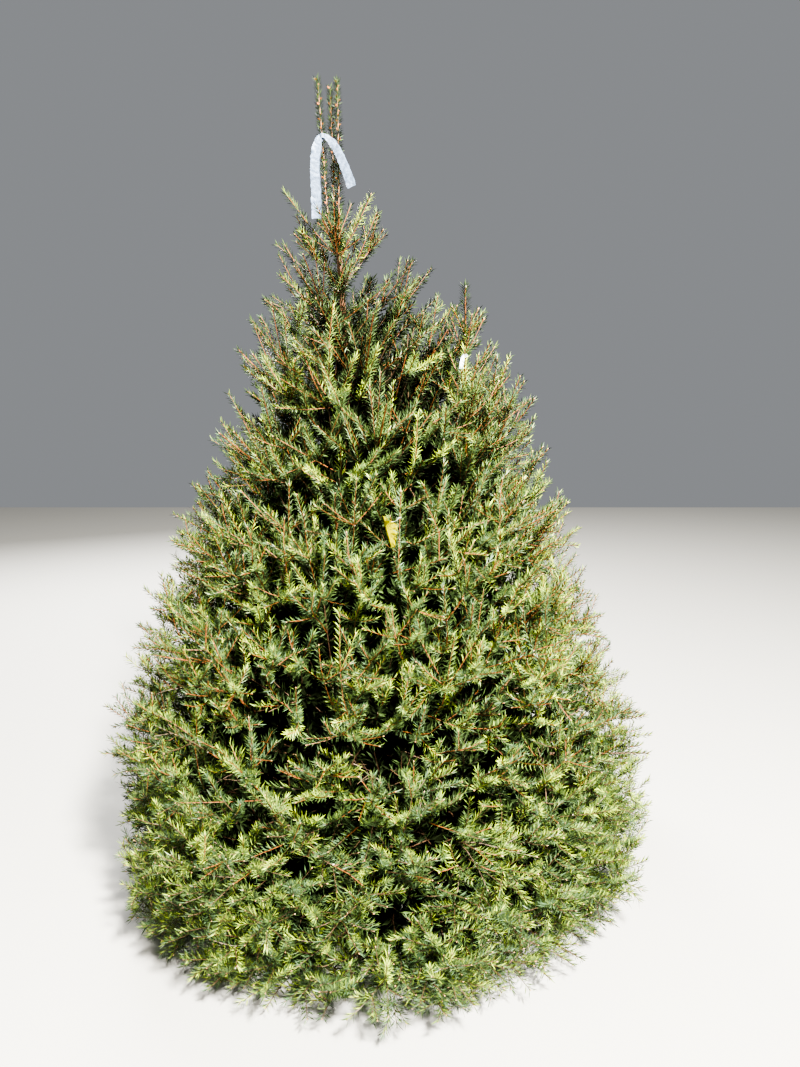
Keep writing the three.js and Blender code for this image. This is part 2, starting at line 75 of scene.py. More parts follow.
# The tree's axis and crown, as its solids have them
TREE_HEIGHT = 2.6
TRUNK_HEIGHT = 2.065
TRUNK_FOOT_RADIUS = 0.041
TRUNK_TIP_RADIUS = 0.008
TRUNK_TAPER = 0.85
FLARE_OUT = 0.026
FLARE_HEIGHT = 0.075
FLARE_LOBES = 5
LEAN = 0.146
LEAN_CURVE = 0.3
SWAY = 0.014
CROWN_HEIGHTS = [0, 0.16, 0.4, 0.64, 1.15, 1.62, 1.83, 2.06, 2.33, TREE_HEIGHT]
CROWN_RADII = [0.885, 0.945, 0.93, 0.87, 0.69, 0.497, 0.392, 0.245, 0.13, 0.07]
CROWN_SHIFTS = [0, 0.02, 0.015, 0.025, 0.078, 0.118, 0.09, 0, 0, 0]
CROWN_SHIFT_AZIMUTH = -0.3
CROWN_SWELL = 0.045
# The swell's waves: share, how many go round, and the height over which they turn a radian
SWELL_WAVES = ((0.6, 3, 0.29), (0.4, 7, -0.17))
FIRST_WHORL = 0.112
WHORL_STEP = 0.264
MASSES_IN_WHORL = [5, 5, 5, 5, 5, 5, 3, 3]
WHORLS_WITH_BOUGHS = 4
LOWEST_SLOPE = -0.06
HIGHEST_SLOPE = 1.3
LAYER_BELOW = 0.36
FIRST_AZIMUTH = 0.43
WHORL_TURN = 2.4
AZIMUTH_JITTER = 0.08
LIMB_DRIFT = 0.05
LIMB_SAG = 0.016
BOUGH_ROOT_RADIUS = 0.0125
BOUGH_THINNING = 0.0013
BOUGH_TIP_RADIUS = 0.0062
BOUGH_SHARE = 0.29
SECOND_FOOT = np.array([0.272, -0.268, 1.4])
SECOND_TIP = np.array([0.262, -0.276, 1.925])
SECOND_START = 1.085
SECOND_BEND = 0.062
SECOND_SAG = 0.014
SECOND_ROOT_RADIUS = 0.013
SECOND_TIP_RADIUS = 0.008
SECOND_SPACE = 0.165
SECOND_WHORLS = [0.26, 0.63]
SIDE_ROWS = {0.43: (0.98, (0.1,)), 0.55: (0.68, (0.08, 0.72))}
TIP_ROW = 0.64
TIP_TURNS = (0.34, -0.34, 0.0)
TIP_LIFTS = (0.08, 0.02, 0.44)
LIFT_JITTER = 0.14
GROUND_MARGIN = 0.012
SEED = 7.31

# The photograph's camera
CAMERA_PLACE = np.array([0.073, -2.6, 1.6])
CAMERA_DIP = 9.8
CAMERA_LENS = 26
CAMERA_SENSOR = 36

# Finer growth
ANNUAL = 0.118  # a year's growth of a main shoot
WEAVE = 0.035  # how far shoots reach into their neighbours' space
SHORTEST = 0.04  # the shortest fork
TOP_SHARE = 0.72  # how much of its length a limb of the last whorl keeps
LINE_POINTS = 3  # the points of a stretch of a shoot
OUTLINE_SLACK = -0.01  # how far inside the crown's outline shoots keep: just past it
BOX_SLACK = 0.035  # how far outside the solids' box shoots may reach

# The yellow tag hangs in a small gap among the twigs, by the tip of an upright shoot
TAG_PLACE = np.array([0.042, -0.6, 1.246])
TAG_GAP = 0.05
TAG_SHOOT = np.array([0.076, -0.615, 1.366])
TAG_SHOOT_RISE = 1.35

HASH_WEIGHTS = (12.9898, 78.233, 37.719, 4.581)
HASH_SCALE = 43758.5453


def chance(*keys):
    """A fixed number from 0 to 1 for each set of keys."""
    total = SEED + sum((key + 1) * weight for key, weight in zip(keys, HASH_WEIGHTS))
    wave = sin(total) * HASH_SCALE
    return wave - np.floor(wave)


def jitter(*keys):
    return 2 * chance(*keys) - 1


def mix(a, b, t):
    return a + (b - a) * t


def unit(v):
    return v / np.maximum(np.linalg.norm(v, axis=-1, keepdims=True), 1e-9)


def outwards(azimuth):
    return np.array([cos(azimuth), sin(azimuth), 0.0])


LAST_WHORL = len(MASSES_IN_WHORL) - 1
SLOPE_GAIN = (HIGHEST_SLOPE - LOWEST_SLOPE) / (LAST_WHORL * WHORL_STEP)
SLOPE_AT_GROUND = LOWEST_SLOPE - SLOPE_GAIN * FIRST_WHORL
LONGEST_LIMB = 1.2
REACH_STEP = 0.004


def axis_at(z):
    """The trunk's axis at a height."""
    z = np.asarray(z, float)
    t = np.maximum(z, 0) / TREE_HEIGHT
    return np.stack([-LEAN * t * (1 + LEAN_CURVE * (1 - t)), SWAY * np.sin(pi * t), z], axis=-1)


def place(run, azimuth, u):
    """The point that lies run out from the axis on a limb from height u."""
    p = axis_at(u + (SLOPE_AT_GROUND + SLOPE_GAIN * u) * run)
    return p + np.stack([run * np.cos(azimuth), run * np.sin(azimuth), 0 * run], axis=-1)


def locate(points):
    """Each point's run from the axis, its azimuth, and the height that its limb leaves from."""
    axis = axis_at(points[..., 2])
    x, y = points[..., 0] - axis[..., 0], points[..., 1] - axis[..., 1]
    run = np.hypot(x, y)
    return run, np.arctan2(y, x), (points[..., 2] - SLOPE_AT_GROUND * run) / (1 + SLOPE_GAIN * run)


def crown_radius(z, azimuth):
    """How far the crown's outline stands from the axis."""
    swell = sum(share * np.sin(n * azimuth + z / height) for share, n, height in SWELL_WAVES)
    radius = np.interp(z, CROWN_HEIGHTS, CROWN_RADII) * (1 + CROWN_SWELL * swell)
    radius = radius + np.interp(z, CROWN_HEIGHTS, CROWN_SHIFTS) * np.cos(azimuth - CROWN_SHIFT_AZIMUTH)
    return np.where(z > TREE_HEIGHT, 0.0, radius)


def trunk_radius(z):
    return mix(TRUNK_FOOT_RADIUS, TRUNK_TIP_RADIUS, (z / TRUNK_HEIGHT) ** TRUNK_TAPER)


def reach_at(azimuth, u):
    """How far a limb from height u runs before it meets the crown's outline."""
    runs = np.arange(0, LONGEST_LIMB, REACH_STEP)
    z = np.maximum(u + (SLOPE_AT_GROUND + SLOPE_GAIN * u) * runs, 0)
    return float(runs[np.argmax(runs >= crown_radius(z, azimuth))])


def under_outline(points):
    """How far each point lies inside the crown's outline."""
    run, azimuth, _ = locate(points)
    return crown_radius(points[..., 2], azimuth) - run


def in_box(line):
    """Whether a line keeps to the box of the solids, give or take a few centimetres."""
    low, high = np.array(CAD_BOX)
    return bool(((line > low - BOX_SLACK) & (line < high + BOX_SLACK))[:, :2].all())


def through(points, count):
    """A centripetal curve through a few points."""
    p = [np.asarray(q, float) for q in points]
    p = [2 * p[0] - p[1], *p, 2 * p[-1] - p[-2]]
    line = []
    for at in np.linspace(0, len(points) - 1, count):
        i = min(int(at), len(points) - 2)
        w = at - i
        a, b, c, d = p[i : i + 4]
        ab, bc, cd = (hypot(*(v - u)) ** 0.5 for u, v in ((a, b), (b, c), (c, d)))
        start = bc * ((b - a) / ab - (c - a) / (ab + bc) + (c - b) / bc)
        end = bc * ((c - b) / bc - (d - b) / (bc + cd) + (d - c) / cd)
        line.append(
            b + start * w + (3 * (c - b) - 2 * start - end) * w**2 + (2 * (b - c) + start + end) * w**3
        )
    return np.array(line)


SECOND_IN = 0.94  # how far out the bend is, as a share of the foot's way
SECOND_STEM_SPACE = 0.35 * SECOND_SPACE
SECOND_LINE = through(
    [
        axis_at(SECOND_START),
        mix(axis_at(SECOND_START), SECOND_FOOT, 0.5) - [0, 0, SECOND_SAG],
        [SECOND_IN * SECOND_FOOT[0], SECOND_IN * SECOND_FOOT[1], SECOND_FOOT[2] - SECOND_BEND],
        SECOND_FOOT,
    ],
    31,
)


class Sector:
    """The space of one limb's foliage: its part of its layer of the crown."""

    def __init__(self, whorl, k):
        count = MASSES_IN_WHORL[whorl]
        height = FIRST_WHORL + whorl * WHORL_STEP
        stagger = pi / count if height < SECOND_START and whorl % 2 else 0
        start = FIRST_AZIMUTH + WHORL_TURN * whorl + stagger

        def azimuth_of(n):
            return start + TURN * n / count + AZIMUTH_JITTER * jitter(whorl, n % count)

        self.whorl = whorl
        self.key = whorl * max(MASSES_IN_WHORL) + k
        self.height = height
        self.azimuth = azimuth_of(k)
        self.left = (azimuth_of(k + 1) - self.azimuth) / 2
        self.right = (self.azimuth - azimuth_of(k - 1)) / 2
        self.low = height - LAYER_BELOW * WHORL_STEP if whorl else -WHORL_STEP
        top = height + (1 - LAYER_BELOW) * WHORL_STEP
        self.high = top if whorl < LAST_WHORL else TRUNK_HEIGHT
        self.reach = reach_at(self.azimuth, height)

    def limb(self, run):
        """The limb's line, from the trunk's axis at run 0 out to its tip."""
        run = np.asarray(run, float)
        bow = np.sin(pi * run / self.reach)
        p = place(run, self.azimuth + LIMB_DRIFT * jitter(self.key, 1) * bow, self.height)
        p[..., 2] -= LIMB_SAG * bow
        return p

    def holds(self, points):
        """Which points lie in the mass's space."""
        run, azimuth, u = locate(points)
        turn = (azimuth - self.azimuth + pi) % TURN - pi
        edge = run * np.sin(np.where(turn > 0, self.left - turn, self.right + turn))
        inside = (points[..., 2] > GROUND_MARGIN) & (run < crown_radius(points[..., 2], azimuth))
        inside &= (u > self.low - WEAVE) & (u < self.high + WEAVE) & (edge > -WEAVE)
        gap = np.hypot(points[..., 0] - SECOND_FOOT[0], points[..., 1] - SECOND_FOOT[1])
        return inside & ~((points[..., 2] > SECOND_FOOT[2]) & (gap < SECOND_STEM_SPACE))


def sectors():
    return [
        Sector(whorl, k) for whorl, count in enumerate(MASSES_IN_WHORL) for k in range(count)
    ]


GROWTH_SEED = 731
YEAR_SPREAD = 0.14  # how much the years' shares of a line vary
SHOOT_RADIUS = 0.0011
YEARLY_RADIUS = 0.0005
# Forks: how much their angle and lift vary, their least length, how that varies, their bend
ANGLE_SPREAD = 0.12
LIFT_SPREAD = 0.34
FORK_LEAST = 0.012
FORK_LENGTHS = (0.8, 1.12)
FORK_BEND = 0.22
ROLL = 0.38
SHARE_MARGIN = 0.004  # points of a line nearer than this to a stretch's ends are left out


class Growth:
    """Every shoot of the tree, each a line with its age in years, its thickness and its face."""

    def __init__(self):
        self.random = np.random.default_rng(GROWTH_SEED)
        self.lines = []
        self.faces = []
        self.ages = []
        self.thick = []
        self.kinds = []
        self.brushes = []
        self.sprays = []
        self.spray = 0
        self.tips = []
        self.joints = []

    def add(self, line, face, age, thick, kind="shoot", brush=(1.0, 1.0)):
        """Keeps one stretch; brush is its needles' length and how far they lean out."""
        self.lines.append(resampled(line, LINE_POINTS))
        self.brushes.append(brush)
        self.sprays.append(self.spray)
        self.faces.append(face)
        self.ages.append(age)
        self.thick.append(thick)
        self.kinds.append(kind)

    def axis(self, line, face, yearly=ANNUAL, oldest=0, brush=(1.0, 1.0)):
        """Adds a line as yearly stretches, and returns the nodes where they meet: the point,
        the way ahead and the length that is left."""
        length = np.linalg.norm(np.diff(line, axis=0), axis=1).sum()
        years = max(1, round(length / yearly))
        marks = np.linspace(0, 1, years + 1)
        marks[1:-1] += self.random.uniform(-YEAR_SPREAD, YEAR_SPREAD, years - 1) / years
        nodes = []
        for year in range(years):
            age = years - 1 - year + oldest
            part = between(line, marks[year], marks[year + 1])
            thick = tuple(SHOOT_RADIUS + YEARLY_RADIUS * n for n in (age, max(age - 1, 0)))
            self.add(part, face, age, thick, brush=brush)
            if age > oldest:
                nodes.append((part[-1], unit(part[-1] - part[-2]), length * (1 - marks[year + 1])))
                self.joints.append(len(self.lines) - 1)
        self.tips.append(len(self.lines) - 1)
        return nodes

    def fork(self, node, face, rows, oldest=0):
        """Side shoots round a node: hand, angle from the shoot, lift and share of what is left."""
        base, ahead, left = node
        random = self.random
        normal = unit(face - ahead * (face @ ahead))
        for hand, angle, lift, share in rows:
            angle = angle + ANGLE_SPREAD * random.standard_normal()
            lift = lift + LIFT_SPREAD * random.standard_normal()
            aim = aimed(ahead, normal, angle, hand, lift)
            length = (share * left + FORK_LEAST) * random.uniform(*FORK_LENGTHS)
            line = bent(base, aim, length, UP * FORK_BEND)
            free = under_outline(line) > OUTLINE_SLACK
            if line[-1][2] < GROUND_MARGIN or not free[1:].all() or not in_box(line):
                continue
            if length > SHORTEST:
                self.axis(line, tilted(aim, random), 1.0, oldest)


def aimed(ahead, normal, angle, hand, lift):
    """The way of a side shoot, an angle from ahead, to one hand and lifted towards normal."""
    side = np.cross(normal, ahead)
    return ahead * cos(angle) + side * hand * sin(angle) * cos(lift) + normal * sin(angle) * sin(lift)


def bent(base, aim, length, bend, count=6):
    """A line that sets out along aim and turns towards bend."""
    ways = unit(aim + np.outer(np.linspace(0, 1, count), bend))
    return np.vstack([base, base + np.cumsum(ways * length / count, axis=0)])


def tilted(aim, random):
    """The way that a shoot's upper side faces: upwards, rolled by chance."""
    up = UP + random.normal(0, ROLL, 3)
    return unit(up - aim * (up @ aim))


def between(line, start, end):
    """A stretch of a line of even steps, between two shares of its length."""
    at = np.linspace(0, 1, len(line))
    inner = at[(at > start + SHARE_MARGIN) & (at < end - SHARE_MARGIN)]
    shares = np.concatenate([[start], inner, [end]])
    return np.stack([np.interp(shares, at, line[:, i]) for i in range(3)], axis=1)


def resampled(line, count):
    runs = np.concatenate([[0], np.cumsum(np.linalg.norm(np.diff(line, axis=0), axis=1))])
    at = np.linspace(0, runs[-1], count)
    return np.stack([np.interp(at, runs, line[:, i]) for i in range(3)], axis=1)


# A limb's stretches, from the trunk out, and its radius along them
STEM_SHARES = (0.02, BOUGH_SHARE, 0.43, 0.55, TIP_ROW, 0.82, 1.0)
STEM_RADII = ((0, BOUGH_SHARE, TIP_ROW, 1), (0.007, 0.0056, 0.003, 0.0016))
# The points of wood that twigs may leave from: the first, the last and how far apart
WOOD_START = 0.08
WOOD_END = 0.94
WOOD_STEP = 0.02
STEP_AHEAD = 0.005  # to the next point of a limb, for its way there
MAIN_LENGTH = 0.68
MAIN_RISE = 0.15
MAIN_POINTS = 34
FEWEST_POINTS = 4
# How much twigs vary in length and in where they leave, and how much of a twig bears others
TWIG_LENGTHS = (0.72, 1.28)
TWIG_STARTS = (0.85, 1.15)
TWIG_WOOD = 0.75


class Limb:
    """One mass: its limb and main side shoots by the solids' rule, and the twigs between."""

    def __init__(self, growth, mass):
        self.growth = growth
        self.mass = mass
        self.run_out = TOP_SHARE if mass.whorl == LAST_WHORL else 1.0
        self.points = []
        self.ways = []

    def keep(self, line):
        """Keeps a line's points and ways as wood that twigs may leave from."""
        self.points.extend(line[1:])
        self.ways.extend(unit(np.diff(line, axis=0)))

    def stem(self):
        """The limb itself, from the trunk to the crown's outline."""
        mass, growth = self.mass, self.growth
        last = len(STEM_SHARES) - 2
        for n in range(last + 1):
            ends = STEM_SHARES[n : n + 2]
            runs = np.linspace(*ends, 6) * mass.reach * self.run_out
            kind = "hidden" if mass.whorl < WHORLS_WITH_BOUGHS and n == 0 else "limb"
            growth.add(mass.limb(runs), UP, last - n, np.interp(ends, *STEM_RADII), kind)
        growth.tips.append(len(growth.lines) - 1)
        count = int(mass.reach / WOOD_STEP)
        self.keep(mass.limb(np.linspace(WOOD_START, mass.reach * WOOD_END, count)))

    def main_shoots(self):
        """The solids' rows of side shoots, each run on to the edge of the mass's space."""
        mass = self.mass
        for n, (share, (angle, lifts)) in enumerate(SIDE_ROWS.items()):
            for row, lift in enumerate(lifts):
                for hand in (1, -1):
                    raised = lift + LIFT_JITTER * jitter(mass.key, n, hand + 1, row)
                    self.main_shoot(share, angle, hand, raised)
        for turn, lift in zip(TIP_TURNS, TIP_LIFTS):
            self.main_shoot(TIP_ROW, hypot(turn, lift), np.sign(turn), np.arctan2(lift, abs(turn)))

    def main_shoot(self, share, angle, hand, lift):
        mass = self.mass
        base = mass.limb(share * mass.reach)
        ahead = unit(mass.limb(share * mass.reach + STEP_AHEAD) - base)
        normal = unit(np.cross(ahead, [-sin(mass.azimuth), cos(mass.azimuth), 0]))
        aim = aimed(ahead, normal, angle, hand, lift)
        line = bent(base, aim, MAIN_LENGTH, UP * MAIN_RISE, MAIN_POINTS)
        free = mass.holds(line[2:])
        stop = len(line) if free.all() else int(np.argmin(free)) + 1
        stop = int(stop * self.run_out)
        if stop < FEWEST_POINTS:
            return
        line = line[:stop]
        self.growth.axis(line, tilted(aim, self.growth.random))
        self.keep(line)

    def twigs(self, targets, layer):
        """A twig to each target from the nearest wood behind it, with forks at its nodes."""
        random = self.growth.random
        tree = KDTree(len(self.points))
        for n, point in enumerate(self.points):
            tree.insert(point, n)
        tree.balance()
        made = []
        for tip in targets:
            self.growth.spray += 1
            way = habit(tip, random)
            yearly = layer.stretch * vigour(tip[2]) * random.uniform(*TWIG_LENGTHS)
            back = yearly * layer.years * random.uniform(*TWIG_STARTS)
            _, n, _ = tree.find(tip - way * back)
            line = reaching(np.array(self.points[n]), np.array(self.ways[n]), tip, way)
            low = line[:, 2].min() < GROUND_MARGIN
            if low or under_outline(line).min() < OUTLINE_SLACK or not in_box(line):
                continue
            nodes = self.growth.axis(line, tilted(way, random), yearly, layer.oldest)
            for node in nodes[-2:]:
                hand = random.choice((-1, 1))
                rows = [
                    (hand * side, angle, lift, share)
                    for side, angle, lift, share, often in layer.fork
                    if random.random() < often
                ]
                self.growth.fork(node, tilted(way, random), rows, layer.oldest)
            made.append(line[: int(len(line) * TWIG_WOOD)])
        for line in made:
            self.keep(line)


# This year's growth, by height
VIGOUR = ((0.2, 0.7, 1.2, 1.6, 2.05), (0.09, 0.095, 0.12, 0.19, 0.23))


def vigour(z):
    """The length of this year's shoots at a height."""
    return float(np.interp(z, *VIGOUR))


ALONG_WOOD = 0.5  # how much a twig follows its wood as it leaves
ARRIVAL = 2.6  # the gap to the tip holds this many of its last handle
CURVE_POINTS = 12


def reaching(start, way, tip, end_way):
    """A curve that leaves wood at start, on its outer side, and arrives at tip along end_way."""
    gap = np.linalg.norm(tip - start)
    first = unit(ALONG_WOOD * way + unit(tip - start))
    t = np.linspace(0, 1, CURVE_POINTS)[:, None]
    a, b = start + first * gap / 3, tip - end_way * gap / ARRIVAL
    return (1 - t) ** 3 * start + 3 * (1 - t) ** 2 * t * a + 3 * (1 - t) * t**2 * b + t**3 * tip


DRIFT_SEED = 17
DRIFT_COUNT = 10
DRIFT_SPREAD = 1.7
DRIFT_SCALE = 3.2
DRIFT_WAVES = np.random.default_rng(DRIFT_SEED).normal(0, DRIFT_SPREAD, (DRIFT_COUNT, 3))


def drift(points, scale, phase):
    """A smooth number, mostly from -1 to 1, that varies through space."""
    turns = np.asarray(points) / scale @ DRIFT_WAVES.T + phase * np.arange(DRIFT_COUNT) ** 2
    return np.sin(turns).sum(axis=-1) / DRIFT_SCALE


# Curves by height: how steeply the shoots rise, in radians, and how loosely they keep to it
RISES = ((0.08, 0.25, 0.5, 0.9, 1.4, 1.9), (0.0, 0.36, 0.74, 0.95, 1.0, 1.0))
LOOSENESS = ((0.6, 1.6), (1.0, 0.75))
# How their azimuth and rise stray: the drift's share, size and phase, and the spread by chance
AZIMUTH_STRAY = (0.45, 0.17, 1.0, 0.42)
RISE_STRAY = (0.28, 0.15, 4.0, 0.34)


def strayed(tip, random, share, scale, phase, spread):
    return share * drift(tip, scale, phase) + spread * random.standard_normal()


def habit(tip, random):
    """The way that the shoots point at a place in the crown."""
    _, azimuth, _ = locate(tip)
    loose = np.interp(tip[2], *LOOSENESS)
    azimuth = azimuth + loose * strayed(tip, random, *AZIMUTH_STRAY)
    rise = np.interp(tip[2], *RISES) + loose * strayed(tip, random, *RISE_STRAY)
    return outwards(azimuth) * cos(rise) + UP * sin(rise)


class Layer:
    """One shell of the crown: its depth under the outline, how far apart its twigs' tips stand,
    how many years' growth a twig has, how long against the outermost, and how it forks."""

    def __init__(self, depth, spacing, years, stretch, oldest, fork):
        self.depth = depth
        self.spacing = spacing
        self.years = years
        self.stretch = stretch
        self.oldest = oldest
        self.fork = fork


# Forks: hand, angle, lift, length and how often
PAIR = ((1, 0.9, 0.1, 0.8, 0.7), (-1, 0.9, 0.1, 0.8, 0.7))
ABOVE = (1, 0.8, 1.4, 0.65, 0.4)
LAYERS = (
    Layer((0.6, 0.85), 0.1, 1.2, 1.5, 4, PAIR),
    Layer((0.45, 0.58), 0.092, 1.2, 1.5, 4, PAIR),
    Layer((0.31, 0.42), 0.088, 1.2, 1.5, 3, PAIR),
    Layer((0.19, 0.28), 0.09, 1.3, 1.3, 2, PAIR),
    Layer((0.1, 0.17), 0.08, 1.5, 1.0, 0, (*PAIR, ABOVE)),
    Layer((0.015, 0.08), 0.078, 1.9, 1.0, 0, (*PAIR, ABOVE, *PAIR)),
)
# Curves by height: how much further apart the tips stand in the outer and the inner layers
OUTER_DEPTH = 0.15
OUTER_SPACING = ((0.12, 0.4, 1.2, 1.6, 1.8, 2.0), (0.76, 1, 1.02, 1.3, 1.55, 1.6))
INNER_SPACING = ((0.12, 0.4, 1.2, 1.6, 1.8, 2.0), (0.8, 1, 0.86, 0.9, 1.1, 1.3))
TWIG_TOP = 1.9
TRIES = 20000  # for a layer with the widest spacing
WIDEST_SPACING = 0.1
CROWN_WIDTH = 0.93
SLIM_CROWN = 0.5  # where the crown is slimmer than this, its layers are thinner too
LEAST_RUN = 0.03
LEAST_HEIGHT = 0.03
# The second leader's own shoots fill the space round its stem
SECOND_FROM = 1.36
SECOND_CLEARANCE = 0.1
CLUMP_DEPTH = 0.008
CLUMP_SIZE = 0.12
CLUMP_PHASE = 2.0


def spots_at(heights, azimuths, runs):
    """Points at their heights, each its run out from the axis."""
    spots = axis_at(heights)
    spots[:, 0] += runs * np.cos(azimuths)
    spots[:, 1] += runs * np.sin(azimuths)
    return spots


def targets_of(layer, random):
    """Places spread evenly through one shell of the crown."""
    kept = np.empty((0, 3))
    tries = int(TRIES * (WIDEST_SPACING / layer.spacing) ** 2)
    heights = TWIG_TOP * random.random(tries)
    azimuths = TURN * random.random(tries)
    depths = random.uniform(*layer.depth, tries)
    lucks = random.random(tries)
    outlines = crown_radius(heights, azimuths)
    rim = spots_at(heights, azimuths, outlines)
    clumps = CLUMP_DEPTH * np.maximum(0, drift(rim, CLUMP_SIZE, CLUMP_PHASE))
    runs = outlines - (depths + clumps) * np.minimum(1, outlines / SLIM_CROWN)
    places = spots_at(heights, azimuths, runs)
    to_second = np.hypot(places[:, 0] - SECOND_FOOT[0], places[:, 1] - SECOND_FOOT[1])
    usable = (runs > LEAST_RUN) & (heights > LEAST_HEIGHT) & (lucks < outlines / CROWN_WIDTH)
    usable &= (heights < SECOND_FROM) | (to_second > SECOND_CLEARANCE)
    usable &= far_from_sight(places, TAG_PLACE) > TAG_GAP
    sparser = OUTER_SPACING if layer.depth[0] < OUTER_DEPTH else INNER_SPACING
    spacings = layer.spacing * np.interp(heights, *sparser)
    for p, spacing in zip(places[usable], spacings[usable]):
        if not len(kept) or np.linalg.norm(kept - p, axis=1).min() > spacing:
            kept = np.vstack([kept, p])
    return kept


def far_from_sight(points, place):
    """How far points lie from the line from a place out to the viewer."""
    away = points - place
    way = unit(CAMERA_PLACE - place)
    along = np.maximum(away @ way, 0)
    return np.linalg.norm(away - along[:, None] * way, axis=1)


def owner_of(points, masses):
    """Which mass each point belongs to: the one whose layer and sector hold it."""
    _, azimuth, u = locate(points)
    best = np.full(len(points), -1)
    for n, mass in enumerate(masses):
        turn = (azimuth - mass.azimuth + pi) % TURN - pi
        in_layer = (u > mass.low) & (u <= mass.high)
        if mass.whorl == LAST_WHORL:
            in_layer = u > mass.low
        best[in_layer & (turn < mass.left) & (turn >= -mass.right)] = n
    return best


# The second leader's whorls: share of its stem, shoots, rise, length
SECOND_SHOOTS = (
    (0.0, 6, 0.75, 0.17),
    (0.14, 6, 0.72, 0.19),
    (SECOND_WHORLS[0], 6, 0.8, 0.18),
    (0.44, 6, 0.92, 0.155),
    (SECOND_WHORLS[1], 5, 1.0, 0.12),
    (0.74, 4, 0.85, 0.085),
)
# Upright shoots on the shoulder beside it and drooping ones by the ground: tips and rise
PLACED_TIPS = (
    (0.302, -0.3, 1.728, 1.3),
    (0.335, -0.22, 1.735, 1.3),
    (0.361, -0.27, 1.72, 1.25),
    (0.403, -0.22, 1.728, 1.2),
    (0.43, -0.26, 1.668, 1.15),
    (0.452, -0.2, 1.655, 1.1),
    (0.475, -0.25, 1.602, 1.05),
    (0.49, -0.18, 1.545, 1.0),
    (0.53, -0.2, 1.45, 0.9),
    (0.62, -0.1, 1.27, 0.85),
    (0.66, -0.08, 1.18, 0.8),
    (0.48, -0.74, 0.05, -0.1),
    (0.42, -0.78, 0.05, -0.1),
    (0.55, -0.7, 0.06, 0.0),
    (0.6, -0.64, 0.09, 0.0),
    (0.34, -0.8, 0.06, -0.1),
)

# Up the second leader's stem, and along its limb, where side shoots stand all round
SECOND_STEM_RADII = (0.006, 0.002)
SECOND_BRUSH = (1.05, 1.1)
SECOND_LIMB_PLACES = range(16, 30, 4)
SECOND_LIMB_AZIMUTHS = (-2.6, -1.9, -1.2, -0.6, 0.2, 1.1)
SECOND_LIMB_RADII = (0.0095, 0.0085)
SECOND_LIMB_BRUSH = (1.0, 0.9)
SECOND_LIMB_RISE = 0.85
SECOND_LIMB_LENGTH = 0.15
AZIMUTH_SPREAD = 0.2
RISE_SPREAD = 0.12
SIDE_LENGTHS = (0.85, 1.1)
SIDE_BEND = 0.3
# Forks: their angle, and their length as a share of what is left
SIDE_FORKS = (0.75, 0.7)
PLACED_FORKS = (0.7, 0.7)
SPIRE_FORKS = (0.65, 0.5)
FORK_LIFT = 0.1
PLACED_YEARLY = 0.11
PLACED_REACH = 0.2


def both_hands(angle, share):
    """Two forks, one to each side."""
    return [(hand, angle, FORK_LIFT, share) for hand in (1, -1)]


def grow_second(growth):
    """The second leader's upright stem with its whorls of rising shoots."""
    random = growth.random
    line = np.stack([mix(SECOND_FOOT, SECOND_TIP, t) for t in np.linspace(0, 1, 12)])
    marks = [*(row[0] for row in SECOND_SHOOTS), 1.0]
    for n, (share, count, rise, length) in enumerate(SECOND_SHOOTS):
        end = marks[n + 1]
        radii = (mix(*SECOND_STEM_RADII, share), mix(*SECOND_STEM_RADII, end))
        growth.add(between(line, share, end), VIEWER, 0, radii, "second", SECOND_BRUSH)
        growth.joints.append(len(growth.lines) - 1)
        for k in range(count):
            growth.spray += 1
            azimuth = TURN * (k + 0.5 * n) / count + AZIMUTH_SPREAD * random.standard_normal()
            grow_side(growth, mix(SECOND_FOOT, SECOND_TIP, share), azimuth, rise, length)
    growth.tips.append(len(growth.lines) - 1)
    for at in SECOND_LIMB_PLACES:
        foot = SECOND_LINE[at]
        part = SECOND_LINE[at - 2 : at + 3]
        growth.add(part, UP, 1, SECOND_LIMB_RADII, "axis", SECOND_LIMB_BRUSH)
        for azimuth in SECOND_LIMB_AZIMUTHS:
            growth.spray += 1
            azimuth = azimuth + AZIMUTH_SPREAD * random.standard_normal()
            grow_side(growth, foot, azimuth, SECOND_LIMB_RISE, SECOND_LIMB_LENGTH)


def grow_side(growth, base, azimuth, rise, length):
    """One rising side shoot with its forks."""
    random = growth.random
    rise = rise + RISE_SPREAD * random.standard_normal()
    aim = outwards(azimuth) * cos(rise) + UP * sin(rise)
    face = tilted(aim, random)
    line = bent(base, aim, length * random.uniform(*SIDE_LENGTHS), UP * SIDE_BEND)
    for node in growth.axis(line, face):
        growth.fork(node, face, both_hands(*SIDE_FORKS))


def grow_placed(growth, limbs, masses):
    """The shoots that have their places, and the one that the tag hangs from."""
    random = growth.random
    for *tip, rise in PLACED_TIPS:
        growth.spray += 1
        line, way = placed_line(np.array(tip), rise, limbs, masses)
        if line[:, 2].min() > GROUND_MARGIN:
            face = tilted(way, random)
            for node in growth.axis(line, face, PLACED_YEARLY)[-2:]:
                growth.fork(node, face, both_hands(*PLACED_FORKS))
    growth.spray += 1
    growth.tag_line, way = placed_line(TAG_SHOOT, TAG_SHOOT_RISE, limbs, masses)
    growth.axis(growth.tag_line, tilted(way, random), PLACED_YEARLY)


def placed_line(tip, rise, limbs, masses):
    """A line to a tip from the nearest wood behind it, and the way it arrives."""
    _, azimuth, _ = locate(tip)
    way = outwards(azimuth) * cos(rise) + UP * sin(rise)
    owner = max(0, owner_of(tip[None], masses)[0])
    return reaching(nearest(limbs[owner], tip - PLACED_REACH * way), way, tip, way), way


def nearest(limb, point):
    """The point of a mass's wood that is nearest to a place."""
    wood = np.array(limb.points)
    return wood[np.linalg.norm(wood - point, axis=1).argmin()]


